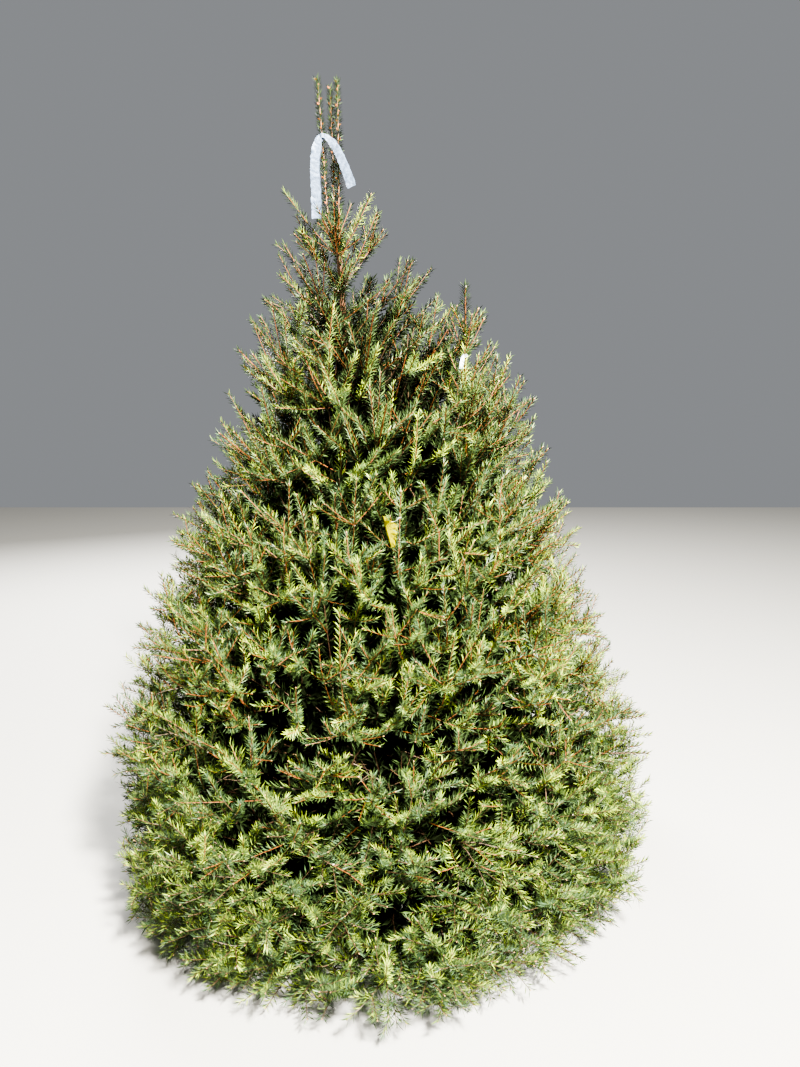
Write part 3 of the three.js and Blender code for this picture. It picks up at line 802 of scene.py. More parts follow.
# The leader's upright shoots, by the places of their tips
LEADER_TIPS = ((-0.183, -0.012, 2.577), (-0.147, 0.018, 2.562), (-0.122, -0.01, 2.573))
# Side shoots of the spire: height on the axis, then the place of the tip
SPIRE_SHOOTS = (
    (2.05, -0.293, 0.0, 2.252),
    (2.05, -0.019, -0.02, 2.24),
    (2.05, -0.176, -0.07, 2.178),
    (1.95, 0.002, -0.05, 2.182),
    (1.95, -0.237, -0.06, 2.127),
    (1.94, -0.324, 0.01, 2.095),
    (1.93, -0.063, -0.1, 2.089),
    (1.88, -0.003, -0.07, 1.956),
    (1.79, 0.114, -0.04, 2.034),
    (1.82, -0.294, -0.04, 1.985),
    (1.86, -0.167, -0.14, 1.935),
    (1.7, 0.184, -0.06, 1.915),
    (1.93, -0.179, -0.079, 2.086),
)
# The shoots between these: height on the axis, how far out and up their tips stand,
# the azimuths of the first and the last, and how many
SPIRE_WHORLS = (
    (2.05, 0.105, 0.18, 0.85, 2.4, 3),
    (1.94, 0.13, 0.21, 0.7, 2.45, 3),
    (1.81, 0.175, 0.205, 0.45, 2.6, 4),
    (1.8, 0.135, 0.17, -2.35, -0.8, 3),
    (1.71, 0.17, 0.18, -2.7, -0.45, 4),
    (1.7, 0.2, 0.205, 0.8, 2.35, 3),
    (1.61, 0.175, 0.175, -2.2, -0.9, 3),
    (1.52, 0.19, 0.17, -1.85, -1.3, 2),
)
SPIRE_FOOT = 1.9  # from here up, its shoots have this year's growth only
SPIRE_YEARLY = 0.24
SPIRE_YEARLY_BELOW = 0.15
SPIRE_SAG = 0.16
SPIRE_BRUSH = (1.08, 1.05)
# The leader's shoots stand apart from the first share of their way up
LEADER_PARTING = 0.22
LEADER_BOW = 0.34
LEADER_BEND = np.array([0.001, 0, 0])
LEADER_RADII = (0.003, 0.0018)
# Stretches of a leader's shoot, with their needles' brush
LEADER_STRETCHES = (
    (0, 0.35, (1.15, 1.05)),
    (0.35, 0.6, (1.0, 1.05)),
    (0.6, 1, (0.92, 1.05)),
)
# The part of the trunk that bears needles, in stretches
NEEDLED_FROM = 1.4
NEEDLED_TO = 2.06
NEEDLED_STRETCH = 0.066
NEEDLED_MIDDLE = 0.03
NEEDLED_BRUSH = (1.1, 0.9)


def grow_leader(growth):
    """The leader's upright shoots, the trunk's own needles and the side shoots of the spire."""
    foot = axis_at(TRUNK_HEIGHT)
    for tip in np.array(LEADER_TIPS):
        growth.spray += 1
        middle = mix(foot, tip, LEADER_PARTING) + LEADER_BOW * (tip - foot) * [1, 1, 0]
        line = through([foot, middle, mix(middle, tip, 0.5) + LEADER_BEND, tip], 16)
        for start, end, brush in LEADER_STRETCHES:
            thick = (mix(*LEADER_RADII, start), mix(*LEADER_RADII, end))
            age = int(start == 0)
            growth.add(between(line, start, end), VIEWER, age, thick, "leader", brush)
        growth.tips.append(len(growth.lines) - 1)
    for start in np.arange(NEEDLED_FROM, NEEDLED_TO, NEEDLED_STRETCH):
        line = axis_at(np.linspace(start, start + NEEDLED_STRETCH, 4))
        radius = trunk_radius(start + NEEDLED_MIDDLE) / FOOT_SHARE
        growth.add(line, VIEWER, 1, (radius, radius), "axis", NEEDLED_BRUSH)
    for height, *tip in SPIRE_SHOOTS:
        grow_spire_shoot(growth, height, np.array(tip) - axis_at(height))
    for height, out, up, first, last, count in SPIRE_WHORLS:
        for azimuth in np.linspace(first, last, count):
            grow_spire_shoot(growth, height, out * outwards(azimuth) + up * UP)


def grow_spire_shoot(growth, height, step):
    """One side shoot of the spire, a little bowed, with forks where it is old enough."""
    growth.spray += 1
    share = np.linspace(0, 1, 9)[:, None]
    sag = UP * SPIRE_SAG * np.linalg.norm(step) * share * (1 - share)
    line = axis_at(height) + step * share - sag
    face = tilted(unit(step), growth.random)
    yearly = SPIRE_YEARLY if height > SPIRE_FOOT else SPIRE_YEARLY_BELOW
    for node in growth.axis(line, face, yearly, 0, SPIRE_BRUSH):
        growth.fork(node, face, both_hands(*SPIRE_FORKS))


DEAD_FOOT = 0.06
DEAD_TOP = 0.8
DEAD_COUNT = 110
DEAD_LOWNESS = 1.4  # more of them stand low
DEAD_DEPTHS = (0.13, 0.4)
DEAD_REACH = 0.12
DEAD_MARGIN = 0.02
DEAD_RADII = (0.002, 0.0008)
# Where its side twigs stand, how far out they point, their lengths and radii
DEAD_SHARES = (0.35, 0.55, 0.75)
DEAD_ANGLES = (0.4, 1.1)
DEAD_SPREAD = 0.4
DEAD_LENGTHS = (0.03, 0.09)
DEAD_DROOP = -0.2
DEAD_SIDE_RADII = (0.0011, 0.0006)


def grow_dead(growth, limbs, masses):
    """Bare brown twigs in the shade near the ground."""
    random = growth.random
    heights = mix(DEAD_FOOT, DEAD_TOP, random.random(DEAD_COUNT) ** DEAD_LOWNESS)
    azimuths = TURN * random.random(DEAD_COUNT)
    runs = crown_radius(heights, azimuths) - random.uniform(*DEAD_DEPTHS, DEAD_COUNT)
    tips = spots_at(heights, azimuths, runs)
    for tip, owner in zip(tips, owner_of(tips, masses)):
        way = habit(tip, random)
        line = reaching(nearest(limbs[owner], tip - DEAD_REACH * way), way, tip, way)
        if line[:, 2].min() < DEAD_MARGIN:
            continue
        growth.add(line, tilted(way, random), 2, DEAD_RADII, "dead")
        for share in DEAD_SHARES:
            for hand in (1, -1):
                base = line[int(share * len(line))]
                out = hand * random.uniform(*DEAD_ANGLES) * np.cross(way, UP)
                aim = unit(way + out + DEAD_SPREAD * random.normal(0, 1, 3))
                twig = bent(base, aim, random.uniform(*DEAD_LENGTHS), DEAD_DROOP * UP)
                if twig[:, 2].min() > DEAD_MARGIN:
                    growth.add(twig, UP, 3, DEAD_SIDE_RADII, "dead")


# Painted shade: needle tones darken with depth in the crown, and more so in its slimmer upper part
SHADE_GAIN = ((1.2, 1.6), (1.0, 1.25))  # the slimmer upper crown is darker at a like depth


@lru_cache(maxsize=1)
def grown():
    """All the tree's shoots, as arrays."""
    growth = Growth()
    masses = sectors()
    limbs = [Limb(growth, mass) for mass in masses]
    for limb in limbs:
        limb.stem()
        limb.main_shoots()
    for layer in LAYERS:
        targets = targets_of(layer, growth.random)
        owners = owner_of(targets, masses)
        for n, limb in enumerate(limbs):
            limb.twigs(targets[owners == n], layer)
    grow_second(growth)
    grow_placed(growth, limbs, masses)
    grow_leader(growth)
    grow_dead(growth, limbs, masses)
    growth.faces = [np.broadcast_to(face, 3) for face in growth.faces]
    for kept in ("lines", "faces", "ages", "thick", "kinds", "brushes", "sprays"):
        setattr(growth, kept, np.array(getattr(growth, kept)))
    growth.lengths = np.linalg.norm(np.diff(growth.lines, axis=1), axis=2).sum(axis=1)
    middles = growth.lines[:, LINE_POINTS // 2]
    growth.depths = under_outline(middles)
    # How deep each shoot lies, more in the upper crown: it picks the darker tones of painted shade
    growth.shades = growth.depths * np.interp(middles[:, 2], *SHADE_GAIN)
    return growth


# Meshes from arrays


def array_piece(name, points, faces, material):
    """A piece made from an array of points and one of faces, all with as many sides."""
    mesh = bpy.data.meshes.new(name)
    mesh.vertices.add(len(points))
    mesh.vertices.foreach_set("co", points.astype(np.float32).ravel())
    mesh.loops.add(faces.size)
    mesh.loops.foreach_set("vertex_index", faces.astype(np.int32).ravel())
    mesh.polygons.add(len(faces))
    starts = np.arange(0, faces.size, faces.shape[1], dtype=np.int32)
    mesh.polygons.foreach_set("loop_start", starts)
    mesh.polygons.foreach_set("use_smooth", np.zeros(len(faces), bool))
    mesh.update(calc_edges=True)
    mesh.materials.append(material)
    piece = bpy.data.objects.new(name, mesh)
    bpy.context.collection.objects.link(piece)
    return piece


def frames_along(lines, faces):
    """At each point of each line: ahead, over (the way its face looks) and across."""
    ahead = np.empty_like(lines)
    ahead[:, 1:-1] = lines[:, 2:] - lines[:, :-2]
    ahead[:, 0] = lines[:, 1] - lines[:, 0]
    ahead[:, -1] = lines[:, -1] - lines[:, -2]
    ahead = unit(ahead)
    over = faces[:, None, :] - ahead * (ahead * faces[:, None, :]).sum(-1, keepdims=True)
    over = unit(over)
    return ahead, over, np.cross(ahead, over)


def tubes(lines, faces, thick):
    """Closed tapering tubes of three sides, one along each line."""
    sides = 3
    count, rings = lines.shape[:2]
    _, over, across = frames_along(lines, faces)
    radii = mix(thick[:, :1], thick[:, 1:], np.linspace(0, 1, rings)[None, :])
    angles = TURN * np.arange(sides) / sides
    points = (
        lines[:, :, None, :]
        + over[:, :, None, :] * (radii[:, :, None] * np.cos(angles))[..., None]
        + across[:, :, None, :] * (radii[:, :, None] * np.sin(angles))[..., None]
    ).reshape(-1, 3)
    ring, corner = np.meshgrid(np.arange(rings - 1), np.arange(sides), indexing="ij")
    a = ring * sides + corner
    b = ring * sides + (corner + 1) % sides
    walls = np.stack([a, b, b + sides, a, b + sides, a + sides], axis=-1).reshape(-1, 3)
    last = (rings - 1) * sides
    one = np.vstack([walls, [[0, 2, 1], [last, last + 1, last + 2]]])
    faces = (one[None] + (np.arange(count) * rings * sides)[:, None, None]).reshape(-1, 3)
    return points, faces


def spots_along(lines, faces, owner, share):
    """For places at shares of their shoots' lengths: the point, ahead and over."""
    ahead, over, _ = frames_along(lines, faces)
    at = np.clip(share, 0, 0.999) * (lines.shape[1] - 1)
    low = at.astype(int)
    part = (at - low)[:, None]
    spot, ahead, over = (
        mix(values[owner, low], values[owner, low + 1], part) for values in (lines, ahead, over)
    )
    return spot, unit(ahead), unit(over)


# Needles stand in a spiral round their shoot, by shares of a turn
SPIRAL_STEP = 0.381966
SHOOT_STEP = 0.713
# Some shoots have no parting. By height: how far the others part over the shoot, in radians,
# how much that varies, and how far down round the shoot the lowest needles stand
COVERED = 0.68
PARTINGS = ((0.5, 1.1, 1.7, 1.95), (0.0, 0.34, 0.4, 0.6))
PARTING_SPREAD = 0.25
PARTING_SPREADS = ((0.5, 1.1), (0.3, 1))
LOWEST_NEEDLES = ((1.3, 1.8), (2.3, 2.9))
# How far they lean away from the shoot at its foot and its tip, and less far over it
LEAN_AWAY = (1.16, 0.66)
LEAN_LESS_OVER = 0.16
LEAN_SPREAD = 0.06
ROLL_SPREAD = 0.2
# A shoot's first needles are shorter
FIRST_NEEDLES = 0.12
FIRST_LENGTH = 0.7
LENGTH_SPREAD = (0.86, 1.08)
# Their feet stand inside the bark, and they are folded at their widest place
FOOT_SHARE = 0.7
FOLD_PLACE = 0.48
FOLD_DEPTH = 0.22
TIP_RISE = 0.04
LOWEST_POINT = 0.002


def needles(growth, counts, long, wide, random):
    """Folded, pointed needles round each shoot, parted over and under it: their corners, the
    shoot that each stands on and how far down round the shoot it stands, from 0 to 1."""
    lines = growth.lines
    heights = lines[:, 1, 2]
    owner = np.repeat(np.arange(len(lines)), counts)
    number = np.arange(len(owner)) - np.repeat(np.cumsum(counts) - counts, counts)
    share = (number + random.random(len(owner))) / counts[owner]
    spot, ahead, over = spots_along(lines, growth.faces, owner, share)
    across = np.cross(ahead, over)
    spin = (number * SPIRAL_STEP + owner * SHOOT_STEP) % 1
    covered = random.random(len(lines)) < COVERED
    varied = random.uniform(0, PARTING_SPREAD, len(lines)) * np.interp(heights, *PARTING_SPREADS)
    parting = np.interp(heights, *PARTINGS) * ~covered + varied
    parting[np.isin(growth.kinds, ["axis", "second", "leader"])] = 0
    lowest = np.interp(heights, *LOWEST_NEEDLES)
    lift = np.where(number % 2, 1.0, -1.0) * mix(parting[owner], lowest[owner], spin)
    radial = over * np.cos(lift)[:, None] + across * np.sin(lift)[:, None]
    lean = mix(*LEAN_AWAY, share**2) - LEAN_LESS_OVER * np.cos(lift)
    lean = lean + LEAN_SPREAD * random.standard_normal(len(owner))
    lean = lean * growth.brushes[owner, 1]
    way = ahead * np.cos(lean)[:, None] + radial * np.sin(lean)[:, None]
    roll = ROLL_SPREAD * random.standard_normal((len(owner), 3))
    side = unit(np.cross(way, radial) + roll)
    top = unit(np.cross(side, way))
    wide = wide[owner]
    long = long[owner] * mix(FIRST_LENGTH, 1.0, np.minimum(share / FIRST_NEEDLES, 1))
    long = long * random.uniform(*LENGTH_SPREAD, len(owner))
    root = spot + radial * (FOOT_SHARE * growth.thick.mean(axis=1)[owner])[:, None]
    middle = root + way * (FOLD_PLACE * long)[:, None] - top * (FOLD_DEPTH * wide)[:, None]
    tip = root + way * long[:, None] + UP * (TIP_RISE * long)[:, None]
    half = side * (0.5 * wide)[:, None]
    corners = np.stack([root, middle - half, tip, middle + half], axis=1)
    above = corners[:, :, 2].min(axis=1) > LOWEST_POINT
    return corners[above], owner[above], spin[above]


BUD_SINK = 0.001  # how far a bud's foot stands in its shoot
BUD_GIRTH = 0.42  # where it is widest
ASIDE = UP + 0.31 * VIEWER  # a way that no shoot runs along


def spindles(places, ways, long, wide):
    """Six-faced buds."""
    side = unit(np.cross(ways, ASIDE))
    other = np.cross(ways, side)
    middle = places + ways * (BUD_GIRTH * long)[:, None]
    half = (0.5 * wide)[:, None]
    turns = (0, TURN / 3, 2 * TURN / 3)
    ring = [middle + side * half * cos(turn) + other * half * sin(turn) for turn in turns]
    points = np.stack([places - ways * BUD_SINK, *ring, places + ways * long[:, None]], axis=1)
    one = [[0, 2, 1], [0, 3, 2], [0, 1, 3], [4, 1, 2], [4, 2, 3], [4, 3, 1]]
    faces = (np.arange(len(places))[:, None, None] * 5 + np.array(one)[None]).reshape(-1, 3)
    return points.reshape(-1, 3), faces


# Materials


class Value:
    """A shader value that adds its Math nodes as it is used in an expression."""

    def __init__(self, finish, socket):
        self.finish = finish
        self.socket = socket

    def maths(self, operation, a, b):
        return self.finish.add("ShaderNodeMath", {"operation": operation}, {0: a, 1: b})

    def __add__(self, other):
        return self.maths("ADD", self, other)

    def __radd__(self, other):
        return self.maths("ADD", other, self)

    def __sub__(self, other):
        return self.maths("SUBTRACT", self, other)

    def __rsub__(self, other):
        return self.maths("SUBTRACT", other, self)

    def __mul__(self, other):
        return self.maths("MULTIPLY", self, other)

    def __rmul__(self, other):
        return self.maths("MULTIPLY", other, self)


class Finish:
    """One material and its nodes."""

    def __init__(self, name):
        self.material = bpy.data.materials.new(name)
        self.material.use_nodes = True
        self.tree = self.material.node_tree
        self.tree.nodes.clear()

    def add(self, kind, settings=None, inputs=None, output=0):
        node = self.tree.nodes.new(kind)
        for key, value in (settings or {}).items():
            if key == "stops":
                for stop, (at, colour) in enumerate(value):
                    ramp = node.color_ramp.elements
                    element = ramp[stop] if stop < len(ramp) else ramp.new(at)
                    element.position = at
                    element.color = (*colour, 1)
            else:
                setattr(node, key, value)
        for key, value in (inputs or {}).items():
            if isinstance(value, Value):
                self.tree.links.new(value.socket, node.inputs[key])
            else:
                node.inputs[key].default_value = value
        return Value(self, node.outputs[output])

    def surface(self, **inputs):
        sockets = {key.replace("_", " "): value for key, value in inputs.items()}
        shader = self.add("ShaderNodeBsdfPrincipled", None, sockets)
        output = self.tree.nodes.new("ShaderNodeOutputMaterial")
        self.tree.links.new(shader.socket, output.inputs["Surface"])
        return self.material

    def place(self, scale=(1, 1, 1)):
        where = self.add("ShaderNodeTexCoord", output="Object")
        return self.add("ShaderNodeMapping", None, {"Vector": where, "Scale": scale})

    def noise(self, where, scale, detail=3.0, roughness=0.5):
        inputs = {"Vector": where, "Scale": scale, "Detail": detail, "Roughness": roughness}
        return self.add("ShaderNodeTexNoise", None, inputs)

    def ramp(self, value, stops):
        return self.add("ShaderNodeValToRGB", {"stops": stops}, {"Fac": value})

    def bump(self, height, distance):
        return self.add("ShaderNodeBump", None, {"Height": height, "Distance": distance})


def rgb(colour):
    return (*colour, 1.0)


def plain(name, colour, roughness, **more):
    return Finish(name).surface(Base_Color=rgb(colour), Roughness=roughness, **more)


BARK_STOPS = (0.32, 0.68)
BARK_STRETCH = (1, 1, 0.35)
YOUNG_BARK_FROM = 1.2  # height
YOUNG_BARK_RATE = 1.6  # share of young bark gained a metre
PLATE_SHARE = 0.75
BARK_ROUGHNESS = 0.78
BARK_ROUGHER = 0.2
BARK_RELIEF = 0.004


def bark(name, colours, grain, young=None):
    """Plated bark from a dark to a light colour, which turns to the colours of young bark
    towards the trunk's tip."""
    finish = Finish(name)
    where = finish.place(BARK_STRETCH)
    plates = finish.noise(where, grain, detail=5.0, roughness=0.62)
    fine = finish.noise(where, grain * 6)
    tone = plates * PLATE_SHARE + fine * (1 - PLATE_SHARE)
    colour = finish.ramp(tone, zip(BARK_STOPS, colours))
    if young:
        spot = finish.add("ShaderNodeTexCoord", output="Object")
        height = finish.add("ShaderNodeSeparateXYZ", None, {0: spot}, output="Z")
        share = (height - YOUNG_BARK_FROM) * YOUNG_BARK_RATE
        share = finish.add("ShaderNodeClamp", None, {"Value": share})
        inputs = {"Factor": share, 6: colour, 7: finish.ramp(tone, zip(BARK_STOPS, young))}
        colour = finish.add("ShaderNodeMix", {"data_type": "RGBA"}, inputs, output=2)
    rough = BARK_ROUGHNESS + BARK_ROUGHER * fine
    relief = finish.bump(tone, BARK_RELIEF)
    return finish.surface(Base_Color=colour, Roughness=rough, Normal=relief)


# Modelling by hand


def deselect():
    if bpy.context.mode != "OBJECT":
        bpy.ops.object.mode_set(mode="OBJECT")
    bpy.ops.object.select_all(action="DESELECT")


def pick(piece):
    """Selects one piece alone and makes it the active one."""
    deselect()
    piece.select_set(True)
    bpy.context.view_layer.objects.active = piece


def joined(pieces):
    """Joins pieces into the first of them."""
    pick(pieces[0])
    for piece in pieces:
        piece.select_set(True)
    bpy.ops.object.join()


def settle(name, material):
    """Puts the active object's place into its mesh and gives it its name and finish."""
    piece = bpy.context.view_layer.objects.active
    pick(piece)
    bpy.ops.object.transform_apply(location=True, rotation=True, scale=True)
    piece.name = name
    piece.data.name = name
    piece.data.materials.clear()
    piece.data.materials.append(material)
    piece.select_set(False)
    return piece


def subdivide(cuts):
    """Cuts up all faces of the active object."""
    bpy.ops.object.mode_set(mode="EDIT")
    bpy.ops.mesh.select_all(action="SELECT")
    bpy.ops.mesh.subdivide(number_cuts=cuts)
    bpy.ops.object.mode_set(mode="OBJECT")


def cut(place, way, **sides):
    """Cuts the active object along a plane."""
    bpy.ops.object.mode_set(mode="EDIT")
    bpy.ops.mesh.select_all(action="SELECT")
    bpy.ops.mesh.bisect(plane_co=place, plane_no=way, **sides)
    bpy.ops.object.mode_set(mode="OBJECT")


def turn_selected(start, end, centre):
    """Turns what is selected by the turn from one direction to another."""
    turn = Vector(start).rotation_difference(Vector(end))
    if turn.angle < 1e-4:
        return
    matrix = turn.axis.to_track_quat("Z", "Y").to_matrix().transposed()
    bpy.ops.transform.rotate(
        value=turn.angle,
        orient_axis="Z",
        orient_matrix=[list(row) for row in matrix],
        orient_matrix_type="GLOBAL",
        constraint_axis=(False, False, True),
        center_override=centre,
    )


def drawn_tube(path, radii, sides):
    """Models a closed tube by drawing a disc out along a path, ring by ring."""
    deselect()
    path = [Vector(p) for p in path]
    way = (path[1] - path[0]).normalized()
    bpy.ops.mesh.primitive_circle_add(
        vertices=sides,
        radius=radii[0],
        fill_type="NGON",
        location=path[0],
        rotation=way.to_track_quat("Z", "Y").to_euler(),
    )
    bpy.ops.object.mode_set(mode="EDIT")
    bpy.ops.mesh.select_all(action="SELECT")
    for n in range(1, len(path)):
        bpy.ops.mesh.extrude_region_move(TRANSFORM_OT_translate={"value": path[n] - path[n - 1]})
        ahead = path[min(n + 1, len(path) - 1)] - path[n - 1]
        turn_selected(way, ahead.normalized(), path[n])
        way = ahead.normalized()
        size = radii[n] / radii[n - 1]
        bpy.ops.transform.resize(value=(size, size, size), center_override=path[n])
    bpy.ops.mesh.select_all(action="SELECT")
    bpy.ops.mesh.normals_make_consistent(inside=False)
    bpy.ops.object.mode_set(mode="OBJECT")
    return bpy.context.view_layer.objects.active


def roughened(piece, size, depth):
    """Gives a piece's mesh a relief."""
    cloud = bpy.data.textures.new(f"{piece.name}_relief", "CLOUDS")
    cloud.noise_scale = size
    cloud.noise_depth = 3
    relief = piece.modifiers.new("relief", "DISPLACE")
    relief.texture = cloud
    relief.texture_coords = "GLOBAL"
    relief.strength = depth
    relief.mid_level = 0.5
    pick(piece)
    bpy.ops.object.modifier_apply(modifier="relief")
    bpy.ops.object.shade_smooth_by_angle(angle=radians(50))
    return piece


def length_setting(name, description, default, least):
    return FloatProperty(
        name=name, description=description, default=default, min=least, unit="LENGTH"
    )


def colour_setting(name, description, default):
    return FloatVectorProperty(
        name=name, description=description, default=default, subtype="COLOR", size=3
    )


def power_setting(name, description, default):
    return FloatProperty(
        name=name, description=description, default=default, min=0.0, subtype="POWER"
    )


class SpruceNeedleSettings(bpy.types.PropertyGroup):
    length: length_setting("Needle length", "Length of a needle on this year's shoots", 0.0225, 0.005)
    width: length_setting("Needle width", "Width of a needle at its middle", 0.0032, 0.0005)
    per_centimetre: FloatProperty(
        name="Needles per centimetre",
        description="How many needles stand on a centimetre of this year's shoots",
        default=5.3,
        min=1.0,
    )


class SpruceTwigSettings(bpy.types.PropertyGroup):
    fresh: colour_setting("Young bark", "Colour of the bark on young shoots", (0.195, 0.062, 0.015))
    old: colour_setting("Old bark", "Colour of the bark on older twigs", (0.085, 0.045, 0.024))
    # The leader's bark is lighter than the young bark: partly its own paler colour, partly a painted
    # highlight of the light on its stems
    leader: colour_setting(
        "Leader's bark", "Colour of the bark on the leader's upright shoots", (0.3, 0.17, 0.1)
    )
    dead: colour_setting("Dead bark", "Colour of the bare dead twigs", (0.16, 0.1, 0.065))


class SpruceStageSettings(bpy.types.PropertyGroup):
    key_power: power_setting("Key light", "Power of the main light", 4000.0)
    fill_power: power_setting("Fill light", "Power of the wide light on the other side", 110.0)
    back_power: power_setting("Back light", "Power of the soft light behind the tree", 900.0)
    sky: FloatProperty(
        name="Surroundings",
        description="Brightness of the surroundings",
        default=0.25,
        min=0.0,
    )


class SpruceMarkSettings(bpy.types.PropertyGroup):
    ribbon: colour_setting("Ribbon", "Colour of the ribbon on the leader", (0.14, 0.185, 0.265))
    ribbon_width: length_setting("Ribbon width", "Width of the ribbon's tape", 0.0245, 0.005)
    tag: colour_setting("Tag", "Colour of the tag in the crown", (0.33, 0.305, 0.0))
    marker: colour_setting("Marker", "Colour of the marker on the second leader", (0.5, 0.56, 0.6))


# Needle tones from the darkest to the lightest: base colour in linear values, roughness and
# specular level. The deep, old and dark tones also serve as painted shade inside the crown and
# under the shoots, deep nearly black; pale is partly this year's pale growth and partly a painted
# highlight, brightened for sunlit needles
NEEDLE_TONES = {
    "deep": ((0.008, 0.011, 0.005), 0.9, 0.0),
    "old": ((0.022, 0.035, 0.013), 0.6, 0.1),
    "dark": ((0.041, 0.067, 0.023), 0.46, 0.2),
    "green": ((0.072, 0.116, 0.035), 0.42, 0.28),
    "blue": ((0.067, 0.118, 0.056), 0.42, 0.3),
    "fresh": ((0.14, 0.2, 0.042), 0.42, 0.26),
    "pale": ((0.34, 0.44, 0.06), 0.42, 0.26),
}
DEEP, OLD, DARK, GREEN, BLUE, FRESH, PALE = range(7)
TONE_SEED = 58
SHOOT_SPREAD = 0.16  # how far a shoot's chance may stand from its spray's
BLUE_SHARE = 0.36
# Curves by height: the chances past which this year's shoots are fresh, and pale
FRESH_CHANCES = ((0.5, 1.1, 1.5), (0.44, 0.58, 0.8))
PALE_CHANCES = ((0.5, 1.1, 1.5), (0.9, 0.93, 0.97))
OLDER_CHANCE = 0.7
# Painted shade: the chance under which a shoot of the upper crown is given the dark tone, by height
UPPER_CROWN = 1.35
UPPER_CHANCES = ((1.3, 1.7, 2.1), (0.05, 0.24, 0.5))
# Painted shade: how deep in the crown the darker tones begin, at the least, and how much chance adds
SHADE_DEPTHS = {DARK: 0.19, OLD: 0.27, DEEP: 0.36}
SHADE_SPREAD = 0.08
# For each tone, the one a step lighter and the one a step darker
LIGHTER = np.array([DEEP, OLD, GREEN, FRESH, FRESH, PALE, PALE])
DARKER = np.array([DEEP, DEEP, OLD, DARK, DARK, GREEN, GREEN])
# Painted light and shade: the limits of chance for a step lighter, darker and darker still, over a
# shoot and under it, so that needles over a shoot are more often lighter and those under it darker
LIGHTER_LIMITS = (0.62, 1.1)
DARKER_LIMITS = (0.17, 0.95)
DARKEST_LIMITS = (0.0, 0.7)


def tones_of(growth):
    """Each shoot's tone, from its age, its spray's chance and its depth in the crown; the darker tones
    by depth and in the upper crown are painted shade.
    """
    random = np.random.default_rng(TONE_SEED)
    luck = random.random(growth.sprays.max() + 1)[growth.sprays]
    luck = (luck + random.uniform(-SHOOT_SPREAD, SHOOT_SPREAD, len(luck))) % 1
    tones = np.where(luck < BLUE_SHARE, BLUE, GREEN)
    young = growth.ages == 0
    heights = growth.lines[:, 1, 2]
    tones[young & (luck > np.interp(heights, *FRESH_CHANCES))] = FRESH
    tones[young & (luck > np.interp(heights, *PALE_CHANCES))] = PALE
    tones[~young & (luck > OLDER_CHANCE)] = DARK
    tones[(heights > UPPER_CROWN) & (luck < np.interp(heights, *UPPER_CHANCES))] = DARK
    for tone, depth in SHADE_DEPTHS.items():
        tones[growth.shades > depth + SHADE_SPREAD * luck] = tone
    tones[growth.kinds == "leader"] = DARK
    return tones


def dealt(tones, spin, random):
    """Each needle's tone: its shoot's, varied by chance, with painted shade darkening the needles down
    its sides and under it, and painted light making those over it more often a step lighter.
    """
    luck = random.random(len(tones))
    mixed = np.where(luck > mix(*LIGHTER_LIMITS, spin), LIGHTER[tones], tones)
    mixed = np.where(luck < mix(*DARKER_LIMITS, spin), DARKER[tones], mixed)
    return np.where((spin > 0.5) & (luck < mix(*DARKEST_LIMITS, spin)), DARKER[mixed], mixed)


TRUNK_SIDES = 30
FLARE_SHARE = 0.7  # the lobes make the rest of the flare
FLARE_FADE = 3
FLARE_RINGS = (0, 0.012, 0.03, 0.055, 0.09, 0.14)
FIRST_RING_ABOVE = 0.22
RINGS_ABOVE = 16
LOBED_RINGS = 4
LOBE_WIDTH = 0.3  # radians to each side of a lobe's middle
LOBE_SWELL = 0.22
RING_MARGIN = 0.004
TRUNK_CUT = 0.0004  # just above the ground, so that the cut doesn't lie in the floor
# Barks: the darkest and the lightest colour
TRUNK_BARK = ((0.05, 0.032, 0.022), (0.17, 0.115, 0.08))
YOUNG_TRUNK_BARK = ((0.045, 0.018, 0.008), (0.12, 0.048, 0.018))
BOUGH_BARK = ((0.07, 0.036, 0.02), (0.24, 0.13, 0.07))


